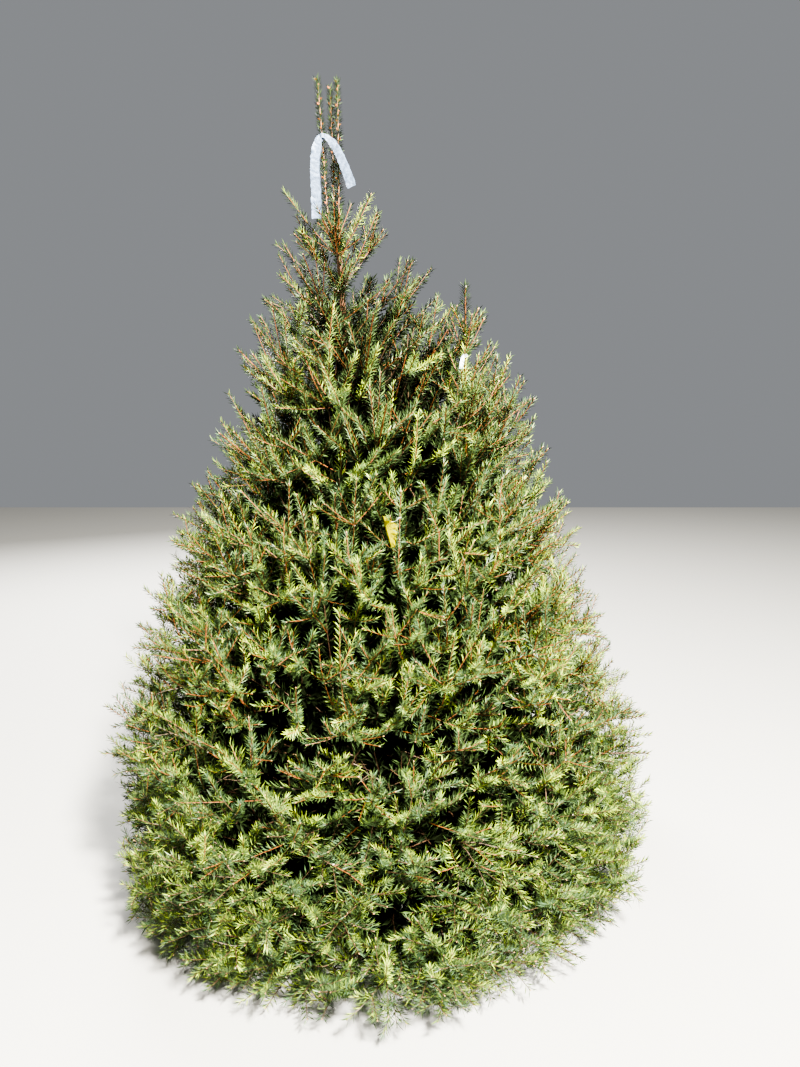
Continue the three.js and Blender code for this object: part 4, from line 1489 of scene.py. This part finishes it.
class SPRUCE_OT_trunk(bpy.types.Operator):
    """Models the trunk with its root flare and bark"""

    bl_idname = "spruce.trunk"
    bl_label = "Trunk"

    def execute(self, context):
        rings_above = np.linspace(FIRST_RING_ABOVE, TRUNK_HEIGHT, RINGS_ABOVE)
        heights = np.concatenate([FLARE_RINGS, rings_above])
        radii = [trunk_radius(z) + FLARE_SHARE * FLARE_OUT * self.fade(z) for z in heights]
        trunk = drawn_tube(axis_at(heights), radii, TRUNK_SIDES)
        bpy.ops.object.mode_set(mode="EDIT")
        for lobe in range(FLARE_LOBES):
            for height in heights[:LOBED_RINGS]:
                self.draw_lobe(trunk, TURN * lobe / FLARE_LOBES, height)
        subdivide(1)
        finish = bark("bark of the trunk", TRUNK_BARK, 60, YOUNG_TRUNK_BARK)
        trunk = settle("trunk_bark", finish)
        roughened(trunk, size=0.012, depth=0.0025)
        cut((0, 0, TRUNK_CUT), UP, use_fill=True, clear_inner=True)
        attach(trunk, "root")
        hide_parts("trunk")
        return {"FINISHED"}

    def fade(self, height):
        """How much of the flare is left at a height."""
        return np.exp(-FLARE_FADE * height / FLARE_HEIGHT)

    def draw_lobe(self, trunk, middle, height):
        """Draws out a few points of one ring, on the azimuth of a root."""
        bpy.ops.mesh.select_mode(type="VERT")
        bpy.ops.mesh.select_all(action="DESELECT")
        bpy.ops.object.mode_set(mode="OBJECT")
        for vertex in trunk.data.vertices:
            p = trunk.matrix_world @ vertex.co
            away = abs((np.arctan2(p.y, p.x) - middle + pi) % TURN - pi)
            vertex.select = bool(abs(p.z - height) < RING_MARGIN and away < LOBE_WIDTH)
        bpy.ops.object.mode_set(mode="EDIT")
        size = 1 + LOBE_SWELL * self.fade(height)
        bpy.ops.transform.resize(value=(size, size, 1), center_override=axis_at(height))


BOUGH_START = 0.012  # inside the trunk
BOUGH_OVERLAP = 0.01  # into its mass
BOUGH_RINGS = 7
BOUGH_COLLAR = 1.3
BOUGH_SIDES = 10
SECOND_SIDES = 12


class SPRUCE_OT_boughs(bpy.types.Operator):
    """Models the main boughs and the second leader's limb with their bark"""

    bl_idname = "spruce.boughs"
    bl_label = "Boughs"

    def execute(self, context):
        made = []
        for mass in sectors():
            if mass.whorl < WHORLS_WITH_BOUGHS:
                made.append(self.bough(mass))
        line = SECOND_LINE[1::2]
        radii = mix(SECOND_ROOT_RADIUS, SECOND_TIP_RADIUS, np.linspace(0, 1, len(line)))
        made.append(drawn_tube(line, radii, SECOND_SIDES))
        joined(made)
        subdivide(1)
        boughs = settle("bough_bark", bark("bark of the boughs", BOUGH_BARK, 110))
        roughened(boughs, size=0.008, depth=0.0012)
        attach(boughs, "root")
        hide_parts(*BOUGH_NODES)
        return {"FINISHED"}

    def bough(self, mass):
        """One bough, thickest at its collar on the trunk."""
        runs = np.linspace(BOUGH_START, BOUGH_SHARE * mass.reach + BOUGH_OVERLAP, BOUGH_RINGS)
        root = BOUGH_ROOT_RADIUS - BOUGH_THINNING * mass.whorl
        radii = mix(root, BOUGH_TIP_RADIUS, np.linspace(0, 1, BOUGH_RINGS))
        radii[0] *= BOUGH_COLLAR
        return drawn_tube(mass.limb(runs), radii, BOUGH_SIDES)


def foliage_piece(name, points, faces, material):
    """A piece of the foliage, which stands for all the masses together with the others."""
    piece = array_piece(name, points, faces, material)
    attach(piece, "root")
    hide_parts(*FOLIAGE_NODES)
    return piece


BARK_SEED = 77
BUD_SEED = 91
YOUNG_BARK_AGE = 1
YOUNG_BARK_DEPTH = 0.3
YOUNG_BARK_HEIGHTS = (0.35, 0.75)  # between these, chance decides
TIP_BUD_DEPTH = 0.16
TIP_BUD_LENGTHS = (0.0048, 0.0068)
TIP_BUD_WIDTH = 0.72  # as a share of its length, like the next two
SCALE_WIDTH = 0.62
LEADER_BUD_WIDTH = 0.75
SCALE_DEPTH = 0.22
SCALE_LENGTHS = (0.005, 0.008)
SCALES_MORE = 5  # as many again at a node of the second leader and of the trunk's top
LEADER_BUD_STEP = 0.014
LEADER_BUD_TURN = 2.4
LEADER_BUD_LENGTHS = (0.0085, 0.0115)
LEADER_BUD_AHEAD = 0.7
LEADER_BUD_OUT = 0.0015
SCALE_AHEAD = 0.6
SCALE_SPREAD = 0.5
SCALE_BACK = 0.002
TWIG_ROUGHNESS = 0.6


class SPRUCE_OT_twigs(bpy.types.Operator):
    """Draws every twig, from the limbs' stems to this year's shoots, and their buds"""

    bl_idname = "spruce.twigs"
    bl_label = "Twigs and buds"

    def execute(self, context):
        look = context.scene.spruce_twigs
        growth = grown()
        upright = (growth.kinds == "leader") & (growth.ages == 0)
        shown = np.isin(growth.kinds, ["shoot", "limb", "second", "leader"]) & ~upright
        chances = np.random.default_rng(BARK_SEED).random(len(growth.ages))
        young = (growth.ages <= YOUNG_BARK_AGE) & (growth.depths < YOUNG_BARK_DEPTH)
        young &= growth.lines[:, 1, 2] > mix(*YOUNG_BARK_HEIGHTS, chances)
        for name, chosen, colour in (
            ("twigs_young", shown & young, look.fresh),
            ("twigs_old", shown & ~young, look.old),
            ("twigs_dead", growth.kinds == "dead", look.dead),
            ("twigs_leader", upright, look.leader),
        ):
            points, faces = tubes(growth.lines[chosen], growth.faces[chosen], growth.thick[chosen])
            foliage_piece(name, points, faces, plain(name, colour, TWIG_ROUGHNESS))
        random = np.random.default_rng(BUD_SEED)
        for name, title, buds, colour, roughness in (
            ("buds", "tip buds", self.tip_buds, (0.46, 0.27, 0.13), 0.5),
            ("bud_scales", "bud scales", self.scales, (0.6, 0.52, 0.4), 0.6),
            ("leader_buds", "leader buds", self.leader_buds, (0.3, 0.09, 0.018), 0.8),
        ):
            points, faces = spindles(*buds(growth, random))
            foliage_piece(name, points, faces, plain(title, colour, roughness))
        return {"FINISHED"}

    def tip_buds(self, growth, random):
        """A bud at each tip that isn't deep in the crown."""
        tips = np.array([n for n in growth.tips if growth.depths[n] < TIP_BUD_DEPTH])
        ways = unit(growth.lines[tips, -1] - growth.lines[tips, -2])
        long = random.uniform(*TIP_BUD_LENGTHS, len(tips))
        return growth.lines[tips, -1], ways, long, TIP_BUD_WIDTH * long

    def scales(self, growth, random):
        """Papery scales left where one year's growth meets the next."""
        joints = np.array([n for n in growth.joints if growth.depths[n] < SCALE_DEPTH])
        second = joints[growth.kinds[joints] == "second"]
        top = np.flatnonzero(growth.kinds == "axis")[-4:]
        more = [np.repeat(where, SCALES_MORE) for where in (second, top)]
        joints = np.concatenate([joints, *more])
        ways = unit(growth.lines[joints, -1] - growth.lines[joints, -2])
        over = unit(growth.faces[joints] + random.normal(0, SCALE_SPREAD, (len(joints), 3)))
        feet = growth.lines[joints, -1] - SCALE_BACK * ways
        long = random.uniform(*SCALE_LENGTHS, len(joints))
        return feet, unit(over + SCALE_AHEAD * ways), long, SCALE_WIDTH * long

    def leader_buds(self, growth, random):
        """Round buds set alternately up the leader's shoots."""
        feet = []
        ways = []
        for n in np.flatnonzero(growth.kinds == "leader"):
            line = resampled(growth.lines[n], 1 + int(growth.lengths[n] / LEADER_BUD_STEP))
            ahead = unit(line[-1] - line[0])
            for k, point in enumerate(line):
                out = unit(np.cross(ahead, outwards(LEADER_BUD_TURN * k + n)))
                feet.append(point + LEADER_BUD_OUT * out)
                ways.append(unit(out + LEADER_BUD_AHEAD * ahead))
        long = random.uniform(*LEADER_BUD_LENGTHS, len(feet))
        return np.array(feet), np.array(ways), long, LEADER_BUD_WIDTH * long


NEEDLE_SEED = 300
MOST_IN_PIECE = 98000  # needles of two triangles each
# Inside the crown the needles are fewer, longer and wider, and in its core more so
INNER_DEPTH = 0.17
CORE_DEPTH = 0.33
DEPTH_STEP = 0.1
INNER_HEIGHTS = ((1.3, 1.6), (1, 0.3))
INNER_COUNT = 0.36
INNER_LENGTH = 1.75
CORE_LENGTH = 1.2
INNER_WIDTH = 3.0
CORE_WIDTH = 1.9
AGE_COUNTS = ((0, 1, 2, 3), (1, 0.85, 0.7, 0.6))
LOW_LENGTHS = ((0.15, 0.6), (1.15, 1.0))


class SPRUCE_OT_needles(bpy.types.Operator):
    """Sets needles round every shoot, dealt out by spray into tones"""

    bl_idname = "spruce.needles"
    bl_label = "Needles"

    def execute(self, context):
        size = context.scene.spruce_needles
        growth = grown()
        heights = growth.lines[:, 1, 2]
        inner = np.clip((growth.depths - INNER_DEPTH) / DEPTH_STEP, 0, 1)
        inner = inner * np.interp(heights, *INNER_HEIGHTS)
        inner[growth.kinds == "axis"] = 0
        core = np.clip((growth.depths - CORE_DEPTH) / DEPTH_STEP, 0, 1) * inner
        share = mix(np.interp(growth.ages, *AGE_COUNTS), INNER_COUNT, inner)
        counts = growth.lengths * 100 * size.per_centimetre * share
        counts[np.isin(growth.kinds, ["leader", "second", "axis"])] *= 2
        counts[np.isin(growth.kinds, ["hidden", "dead"])] = 0
        long = size.length * np.interp(heights, *LOW_LENGTHS) * growth.brushes[:, 0]
        long = long * mix(1, INNER_LENGTH, inner) * mix(1, CORE_LENGTH, core)
        wide = size.width * mix(1, INNER_WIDTH, inner) * mix(1, CORE_WIDTH, core)
        random = np.random.default_rng(NEEDLE_SEED)
        corners, owner, spin = needles(growth, counts.astype(int), long, wide, random)
        tones = dealt(tones_of(growth)[owner], spin, random)
        for n, (tone, look) in enumerate(NEEDLE_TONES.items()):
            self.draw_tone(tone, look, corners[tones == n])
        return {"FINISHED"}

    def draw_tone(self, tone, look, corners):
        """All needles of one tone, in as many pieces as their number needs."""
        colour, roughness, shine = look
        material = plain(f"needles {tone}", colour, roughness, Specular_IOR_Level=shine)
        parts = int(np.ceil(len(corners) / MOST_IN_PIECE))
        for part, some in enumerate(np.array_split(corners, parts)):
            first = np.arange(len(some))[:, None, None] * 4
            faces = (first + np.array([[0, 2, 1], [0, 3, 2]])).reshape(-1, 3)
            name = f"needles_{tone}_{part + 1}" if parts > 1 else f"needles_{tone}"
            foliage_piece(name, some.reshape(-1, 3), faces, material)


def drawn_strip(path, sides, widths):
    """Models a flat strip by drawing one edge of a plane on along a path."""
    deselect()
    path = [Vector(p) for p in path]
    sides = [Vector(s).normalized() for s in sides]
    way = (path[1] - path[0]).normalized()
    across = (sides[0] - way * sides[0].dot(way)).normalized()
    turned = Matrix((across, way, across.cross(way))).transposed()
    bpy.ops.mesh.primitive_plane_add(size=widths[0], location=path[0], rotation=turned.to_euler())
    strip = bpy.context.view_layer.objects.active
    for vertex in strip.data.vertices:
        vertex.select = vertex.co.y > 0
    bpy.ops.object.mode_set(mode="EDIT")
    bpy.ops.mesh.select_mode(type="VERT")
    at = path[0] + way * widths[0] / 2
    for n in range(1, len(path)):
        bpy.ops.mesh.extrude_region_move(TRANSFORM_OT_translate={"value": path[n] - at})
        at = path[n]
        turn_selected(across, sides[n], at)
        across = sides[n]
        size = widths[n] / widths[n - 1]
        bpy.ops.transform.resize(value=(size, size, size), center_override=at)
    subdivide(2)
    return strip


def thickened(piece, thickness, bevel=0.0):
    """Gives a strip its thickness and, where asked, rounded edges."""
    pick(piece)
    wall = piece.modifiers.new("wall", "SOLIDIFY")
    wall.thickness = thickness
    wall.offset = 0
    bpy.ops.object.modifier_apply(modifier="wall")
    if bevel:
        edge = piece.modifiers.new("edge", "BEVEL")
        edge.width = bevel
        edge.segments = 1
        bpy.ops.object.modifier_apply(modifier="edge")
    return piece


CREASE_GRAIN = 90
FINE_GRAIN = 600
# Painted shade: in the creases the tape's colour falls to this share of itself
CREASE_SHADE = 0.6
CREASE_STOPS = (0.36, 0.6)


def tape_finish(name, colour, shine=0.5):
    """Thin plastic tape with soft creases, its colour darker in them: painted shade."""
    finish = Finish(name)
    where = finish.place()
    crease = finish.noise(where, CREASE_GRAIN, roughness=0.6)
    # Painted shade: the colour darkens into the creases
    shade = [CREASE_SHADE * c for c in colour]
    tone = finish.ramp(crease, zip(CREASE_STOPS, (shade, colour)))
    fine = finish.noise(where, FINE_GRAIN, detail=2.0)
    return finish.surface(
        Base_Color=tone,
        Specular_IOR_Level=shine,
        Roughness=0.3 + 0.3 * fine,
        Normal=finish.bump(crease + 0.25 * fine, 0.002),
    )


BAND_TURNS = 2.2
BAND_POINTS = 30
BAND_WAVE = 0.12  # how far the tape climbs and falls, as a share of its height
BAND_WAVE_RATE = 0.5
TWIST_RATE = 9


def band(centre, way, radius, height, wall):
    """A short band of tape wound round a shoot."""
    turns = np.linspace(0, BAND_TURNS * TURN, BAND_POINTS)
    side = unit(np.cross(way, VIEWER))
    other = np.cross(way, side)
    grow = radius + wall * turns / TURN
    rise = height * BAND_WAVE * np.sin(turns * BAND_WAVE_RATE)
    path = centre + (side * np.cos(turns)[:, None] + other * np.sin(turns)[:, None]) * grow[:, None]
    path = path + way * rise[:, None]
    strip = drawn_strip(path, [way] * BAND_POINTS, np.full(BAND_POINTS, height))
    return thickened(strip, wall / 2)


def tail(points, widths, twist=0.0):
    """A strip of tape through a few points. It faces the viewer and twists where it turns."""
    line = through(points, len(widths))
    ahead = unit(np.gradient(line, axis=0))
    face = VIEWER + twist * np.sin(TWIST_RATE * ahead[:, 2])[:, None]
    return drawn_strip(line, unit(np.cross(ahead, face)), widths)


def leader_point(growth, height):
    """The place at a height on the leader's first shoot, and the way it runs."""
    shoot = growth.lines[growth.kinds == "leader"][: len(LEADER_STRETCHES)].reshape(-1, 3)
    spot = np.array([np.interp(height, shoot[:, 2], shoot[:, i]) for i in range(3)])
    return spot, unit(shoot[-1] - shoot[0])


RIBBON_HEIGHT = 2.413
RIBBON_KNOT = (0, -0.011, 0)
# The ribbon's tails, as steps from the middle of its band
RIBBON_TAILS = (
    (
        (-0.012, -0.02, -0.02),
        (-0.022, -0.024, -0.085),
        (-0.021, -0.022, -0.16),
        (-0.019, -0.024, -0.246),
    ),
    (
        (0.012, -0.018, -0.003),
        (0.038, -0.024, -0.03),
        (0.062, -0.026, -0.075),
        (0.093, -0.024, -0.152),
    ),
)
# Shares of the tape's width, gathered at the knot, and their places along each tail
TAIL_PLACES = (0, 0.12, 0.35, 1)
TAIL_WIDTHS = ((0.24, 0.5, 1.05, 1.12), (0.24, 0.4, 0.66, 1.08))
TAIL_POINTS = 22
TAIL_TWIST = 0.25
RIBBON_THICKNESS = 0.0007


class SPRUCE_OT_ribbon(bpy.types.Operator):
    """Ties the white ribbon round the leader, with its two tails"""

    bl_idname = "spruce.ribbon"
    bl_label = "Ribbon"

    def execute(self, context):
        look = context.scene.spruce_marks
        spot, way = leader_point(grown(), RIBBON_HEIGHT)
        made = [band(spot, way, radius=0.006, height=0.011, wall=0.0014)]
        for steps, shares in zip(RIBBON_TAILS, TAIL_WIDTHS):
            widths = np.interp(np.linspace(0, 1, TAIL_POINTS), TAIL_PLACES, shares)
            points = [spot + np.array(step) for step in (RIBBON_KNOT, *steps)]
            strip = tail(points, look.ribbon_width * widths, TAIL_TWIST)
            made.append(roughened(thickened(strip, RIBBON_THICKNESS), size=0.022, depth=0.012))
        joined(made)
        ribbon = settle("ribbon", tape_finish("white tape", look.ribbon))
        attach(ribbon, "root")
        return {"FINISHED"}


TAG_DOWN = (0.08, 0.06, -1.0)
TAG_FACE = (-0.3, -1.0, 0.1)
TAG_LENGTH = 0.097
TAG_CURL = 0.007
TAG_BOW = 2.4
TAG_POINTS = 9
# The tag's widths and their places down its length
TAG_WIDTHS = ((0, 0.36, 0.64, 1), (0.038, 0.036, 0.029, 0.009))
# Steps from its place to its top and to the slanting edge that it is cut along
TAG_TOP = (0.003, 0, 0.066)
TAG_EDGE = (0.0023, 0, 0.0445)
TAG_SLANT = (0.516, 0, 0.852)
TAG_THICKNESS = 0.0009
TAG_BEVEL = 0.0002
# The tie runs from a corner of the tag to a stem and once round it
TIE_CORNER = (0.006, -0.002, -0.004)
TIE_REACH = (0.022, 0, 0.012)
TIE_SAG = 0.003
TIE_BESIDE = np.array([0.003, 0, 0])
TIE_TURN = 0.0035
TIE_AZIMUTHS = (2.2, 0.8, -0.6, -2.0)
TIE_CLIMB = 0.3
TIE_RADIUS = 0.0008
TIE_SIDES = 6
TIE_COLOUR = (0.75, 0.75, 0.73)
STEM_POINTS = 60
TIE_POINTS = 26


class SPRUCE_OT_tag(bpy.types.Operator):
    """Hangs the yellow tag in the crown by its thin white tie"""

    bl_idname = "spruce.tag"
    bl_label = "Tag"

    def execute(self, context):
        look = context.scene.spruce_marks
        down = unit(np.array(TAG_DOWN))
        across = unit(np.cross(down, unit(np.array(TAG_FACE))))
        steps = np.linspace(0, 1, TAG_POINTS)
        path = TAG_PLACE + TAG_TOP + np.outer(TAG_LENGTH * steps, down)
        path = path + np.outer(TAG_CURL * np.sin(TAG_BOW * steps), np.cross(down, across))
        strip = drawn_strip(path, [across] * TAG_POINTS, np.interp(steps, *TAG_WIDTHS))
        edge = TAG_PLACE + TAG_EDGE
        cut(edge, TAG_SLANT, clear_outer=True)
        thickened(strip, TAG_THICKNESS, TAG_BEVEL)
        tag = settle("tag", tape_finish("yellow card", look.tag, shine=0.05))
        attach(tag, "root")
        drawn_tube(self.tie(edge + TIE_CORNER), np.full(TIE_POINTS, TIE_RADIUS), TIE_SIDES)
        tie = settle("tag_tie", tape_finish("white tie", TIE_COLOUR))
        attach(tie, "root")
        return {"FINISHED"}

    def tie(self, corner):
        """The line of the tie, from a corner of the tag to its stem and round it."""
        stem = resampled(grown().tag_line, STEM_POINTS)
        hold = stem[np.linalg.norm(stem - corner - TIE_REACH, axis=1).argmin()]
        sag = mix(corner, hold, 0.5) - [0, 0, TIE_SAG]
        turn = [hold + TIE_TURN * (outwards(azimuth) + TIE_CLIMB * UP) for azimuth in TIE_AZIMUTHS]
        return through([corner, sag, hold - TIE_BESIDE, *turn], TIE_POINTS)


MARKER_HEIGHT = 1.73
# The marker's tail, as steps from its band
MARKER_TAIL = ((0, -0.009, 0), (-0.009, -0.015, -0.01), (-0.013, -0.017, -0.038))
MARKER_WIDTHS = ((0, 0.3, 1), (0.005, 0.01, 0.012))
MARKER_POINTS = 12
MARKER_THICKNESS = 0.0006


class SPRUCE_OT_marker(bpy.types.Operator):
    """Ties the small white marker to the second leader"""

    bl_idname = "spruce.marker"
    bl_label = "Marker"

    def execute(self, context):
        look = context.scene.spruce_marks
        share = (MARKER_HEIGHT - SECOND_FOOT[2]) / (SECOND_TIP[2] - SECOND_FOOT[2])
        spot = mix(SECOND_FOOT, SECOND_TIP, share)
        way = unit(SECOND_TIP - SECOND_FOOT)
        made = [band(spot, way, radius=0.0045, height=0.006, wall=0.0009)]
        widths = np.interp(np.linspace(0, 1, MARKER_POINTS), *MARKER_WIDTHS)
        strip = tail([spot + step for step in MARKER_TAIL], widths)
        made.append(roughened(thickened(strip, MARKER_THICKNESS), size=0.02, depth=0.003))
        joined(made)
        marker = settle("marker", tape_finish("white marker", look.marker))
        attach(marker, "root")
        return {"FINISHED"}


# The lights: place, aim, size and colour
LIGHTS = {
    "key": ((2.0, -3.9, 5.6), (0, 0, 1.0), 0.7, (1.0, 0.965, 0.88)),
    "fill": ((3.4, -3.0, 2.6), (0, 0, 1.0), 3.0, (0.9, 0.95, 1.0)),
    "back": ((-2.4, 4.4, 4.0), (0, 0, 0.9), 3.0, (1.0, 0.99, 0.96)),
}
SKY = (0.93, 0.96, 1.0)
FLOOR_SIZE = 14
FLOOR_PLACE = (0, 2, -0.001)
FLOOR_COLOUR = (0.34, 0.335, 0.32)
FLOOR_ROUGHNESS = 0.85


class SPRUCE_OT_stage(bpy.types.Operator):
    """Sets the floor, the lights and the camera"""

    bl_idname = "spruce.stage"
    bl_label = "Stage"

    def execute(self, context):
        look = context.scene.spruce_stage
        deselect()
        bpy.ops.mesh.primitive_plane_add(size=FLOOR_SIZE, location=FLOOR_PLACE)
        floor = settle("floor", plain("floor", FLOOR_COLOUR, FLOOR_ROUGHNESS))
        for name, settings in LIGHTS.items():
            self.light(f"{name} light", getattr(look, f"{name}_power"), *settings)
        world = bpy.data.worlds.new("surroundings")
        world.use_nodes = True
        background = world.node_tree.nodes["Background"]
        background.inputs["Color"].default_value = rgb(SKY)
        background.inputs["Strength"].default_value = look.sky
        context.scene.world = world
        context.scene.view_settings.look = "AgX - High Contrast"
        camera = bpy.data.cameras.new("camera")
        camera.lens = CAMERA_LENS
        camera.sensor_width = CAMERA_SENSOR
        camera.sensor_fit = "AUTO"
        holder = bpy.data.objects.new("camera", camera)
        context.collection.objects.link(holder)
        holder.location = CAMERA_PLACE
        holder.rotation_euler = (radians(90 - CAMERA_DIP), 0, 0)
        context.scene.camera = holder
        return {"FINISHED"}

    def light(self, name, power, place, target, size, colour):
        lamp = bpy.data.lights.new(name, "AREA")
        lamp.size = size
        lamp.energy = power
        lamp.color = colour
        holder = bpy.data.objects.new(name, lamp)
        bpy.context.collection.objects.link(holder)
        holder.location = place
        way = Vector(target) - Vector(place)
        holder.rotation_euler = way.to_track_quat("-Z", "Y").to_euler()


SETTINGS = {
    "spruce_needles": SpruceNeedleSettings,
    "spruce_twigs": SpruceTwigSettings,
    "spruce_marks": SpruceMarkSettings,
    "spruce_stage": SpruceStageSettings,
}
OPERATORS = (
    SPRUCE_OT_trunk,
    SPRUCE_OT_boughs,
    SPRUCE_OT_twigs,
    SPRUCE_OT_needles,
    SPRUCE_OT_ribbon,
    SPRUCE_OT_tag,
    SPRUCE_OT_marker,
    SPRUCE_OT_stage,
)


class SPRUCE_PT_tree(bpy.types.Panel):
    """Lists the spruce's pieces and their settings"""

    bl_idname = "SPRUCE_PT_tree"
    bl_label = "Young Spruce"
    bl_space_type = "VIEW_3D"
    bl_region_type = "UI"
    bl_category = "Spruce"

    def draw(self, context):
        for name, group in SETTINGS.items():
            box = self.layout.box()
            for key in group.__annotations__:
                box.prop(getattr(context.scene, name), key)
        for operator in OPERATORS:
            self.layout.operator(operator.bl_idname)


def register():
    for item in (*SETTINGS.values(), *OPERATORS, SPRUCE_PT_tree):
        bpy.utils.register_class(item)
    for name, group in SETTINGS.items():
        setattr(bpy.types.Scene, name, PointerProperty(type=group))


def unregister():
    for name in SETTINGS:
        delattr(bpy.types.Scene, name)
    for item in (SPRUCE_PT_tree, *reversed(OPERATORS), *reversed(SETTINGS.values())):
        bpy.utils.unregister_class(item)


def main():
    register()
    bpy.ops.spruce.trunk()
    bpy.ops.spruce.boughs()
    bpy.ops.spruce.twigs()
    bpy.ops.spruce.needles()
    bpy.ops.spruce.ribbon()
    bpy.ops.spruce.tag()
    bpy.ops.spruce.marker()
    bpy.ops.spruce.stage()


if __name__ == "__main__":
    main()
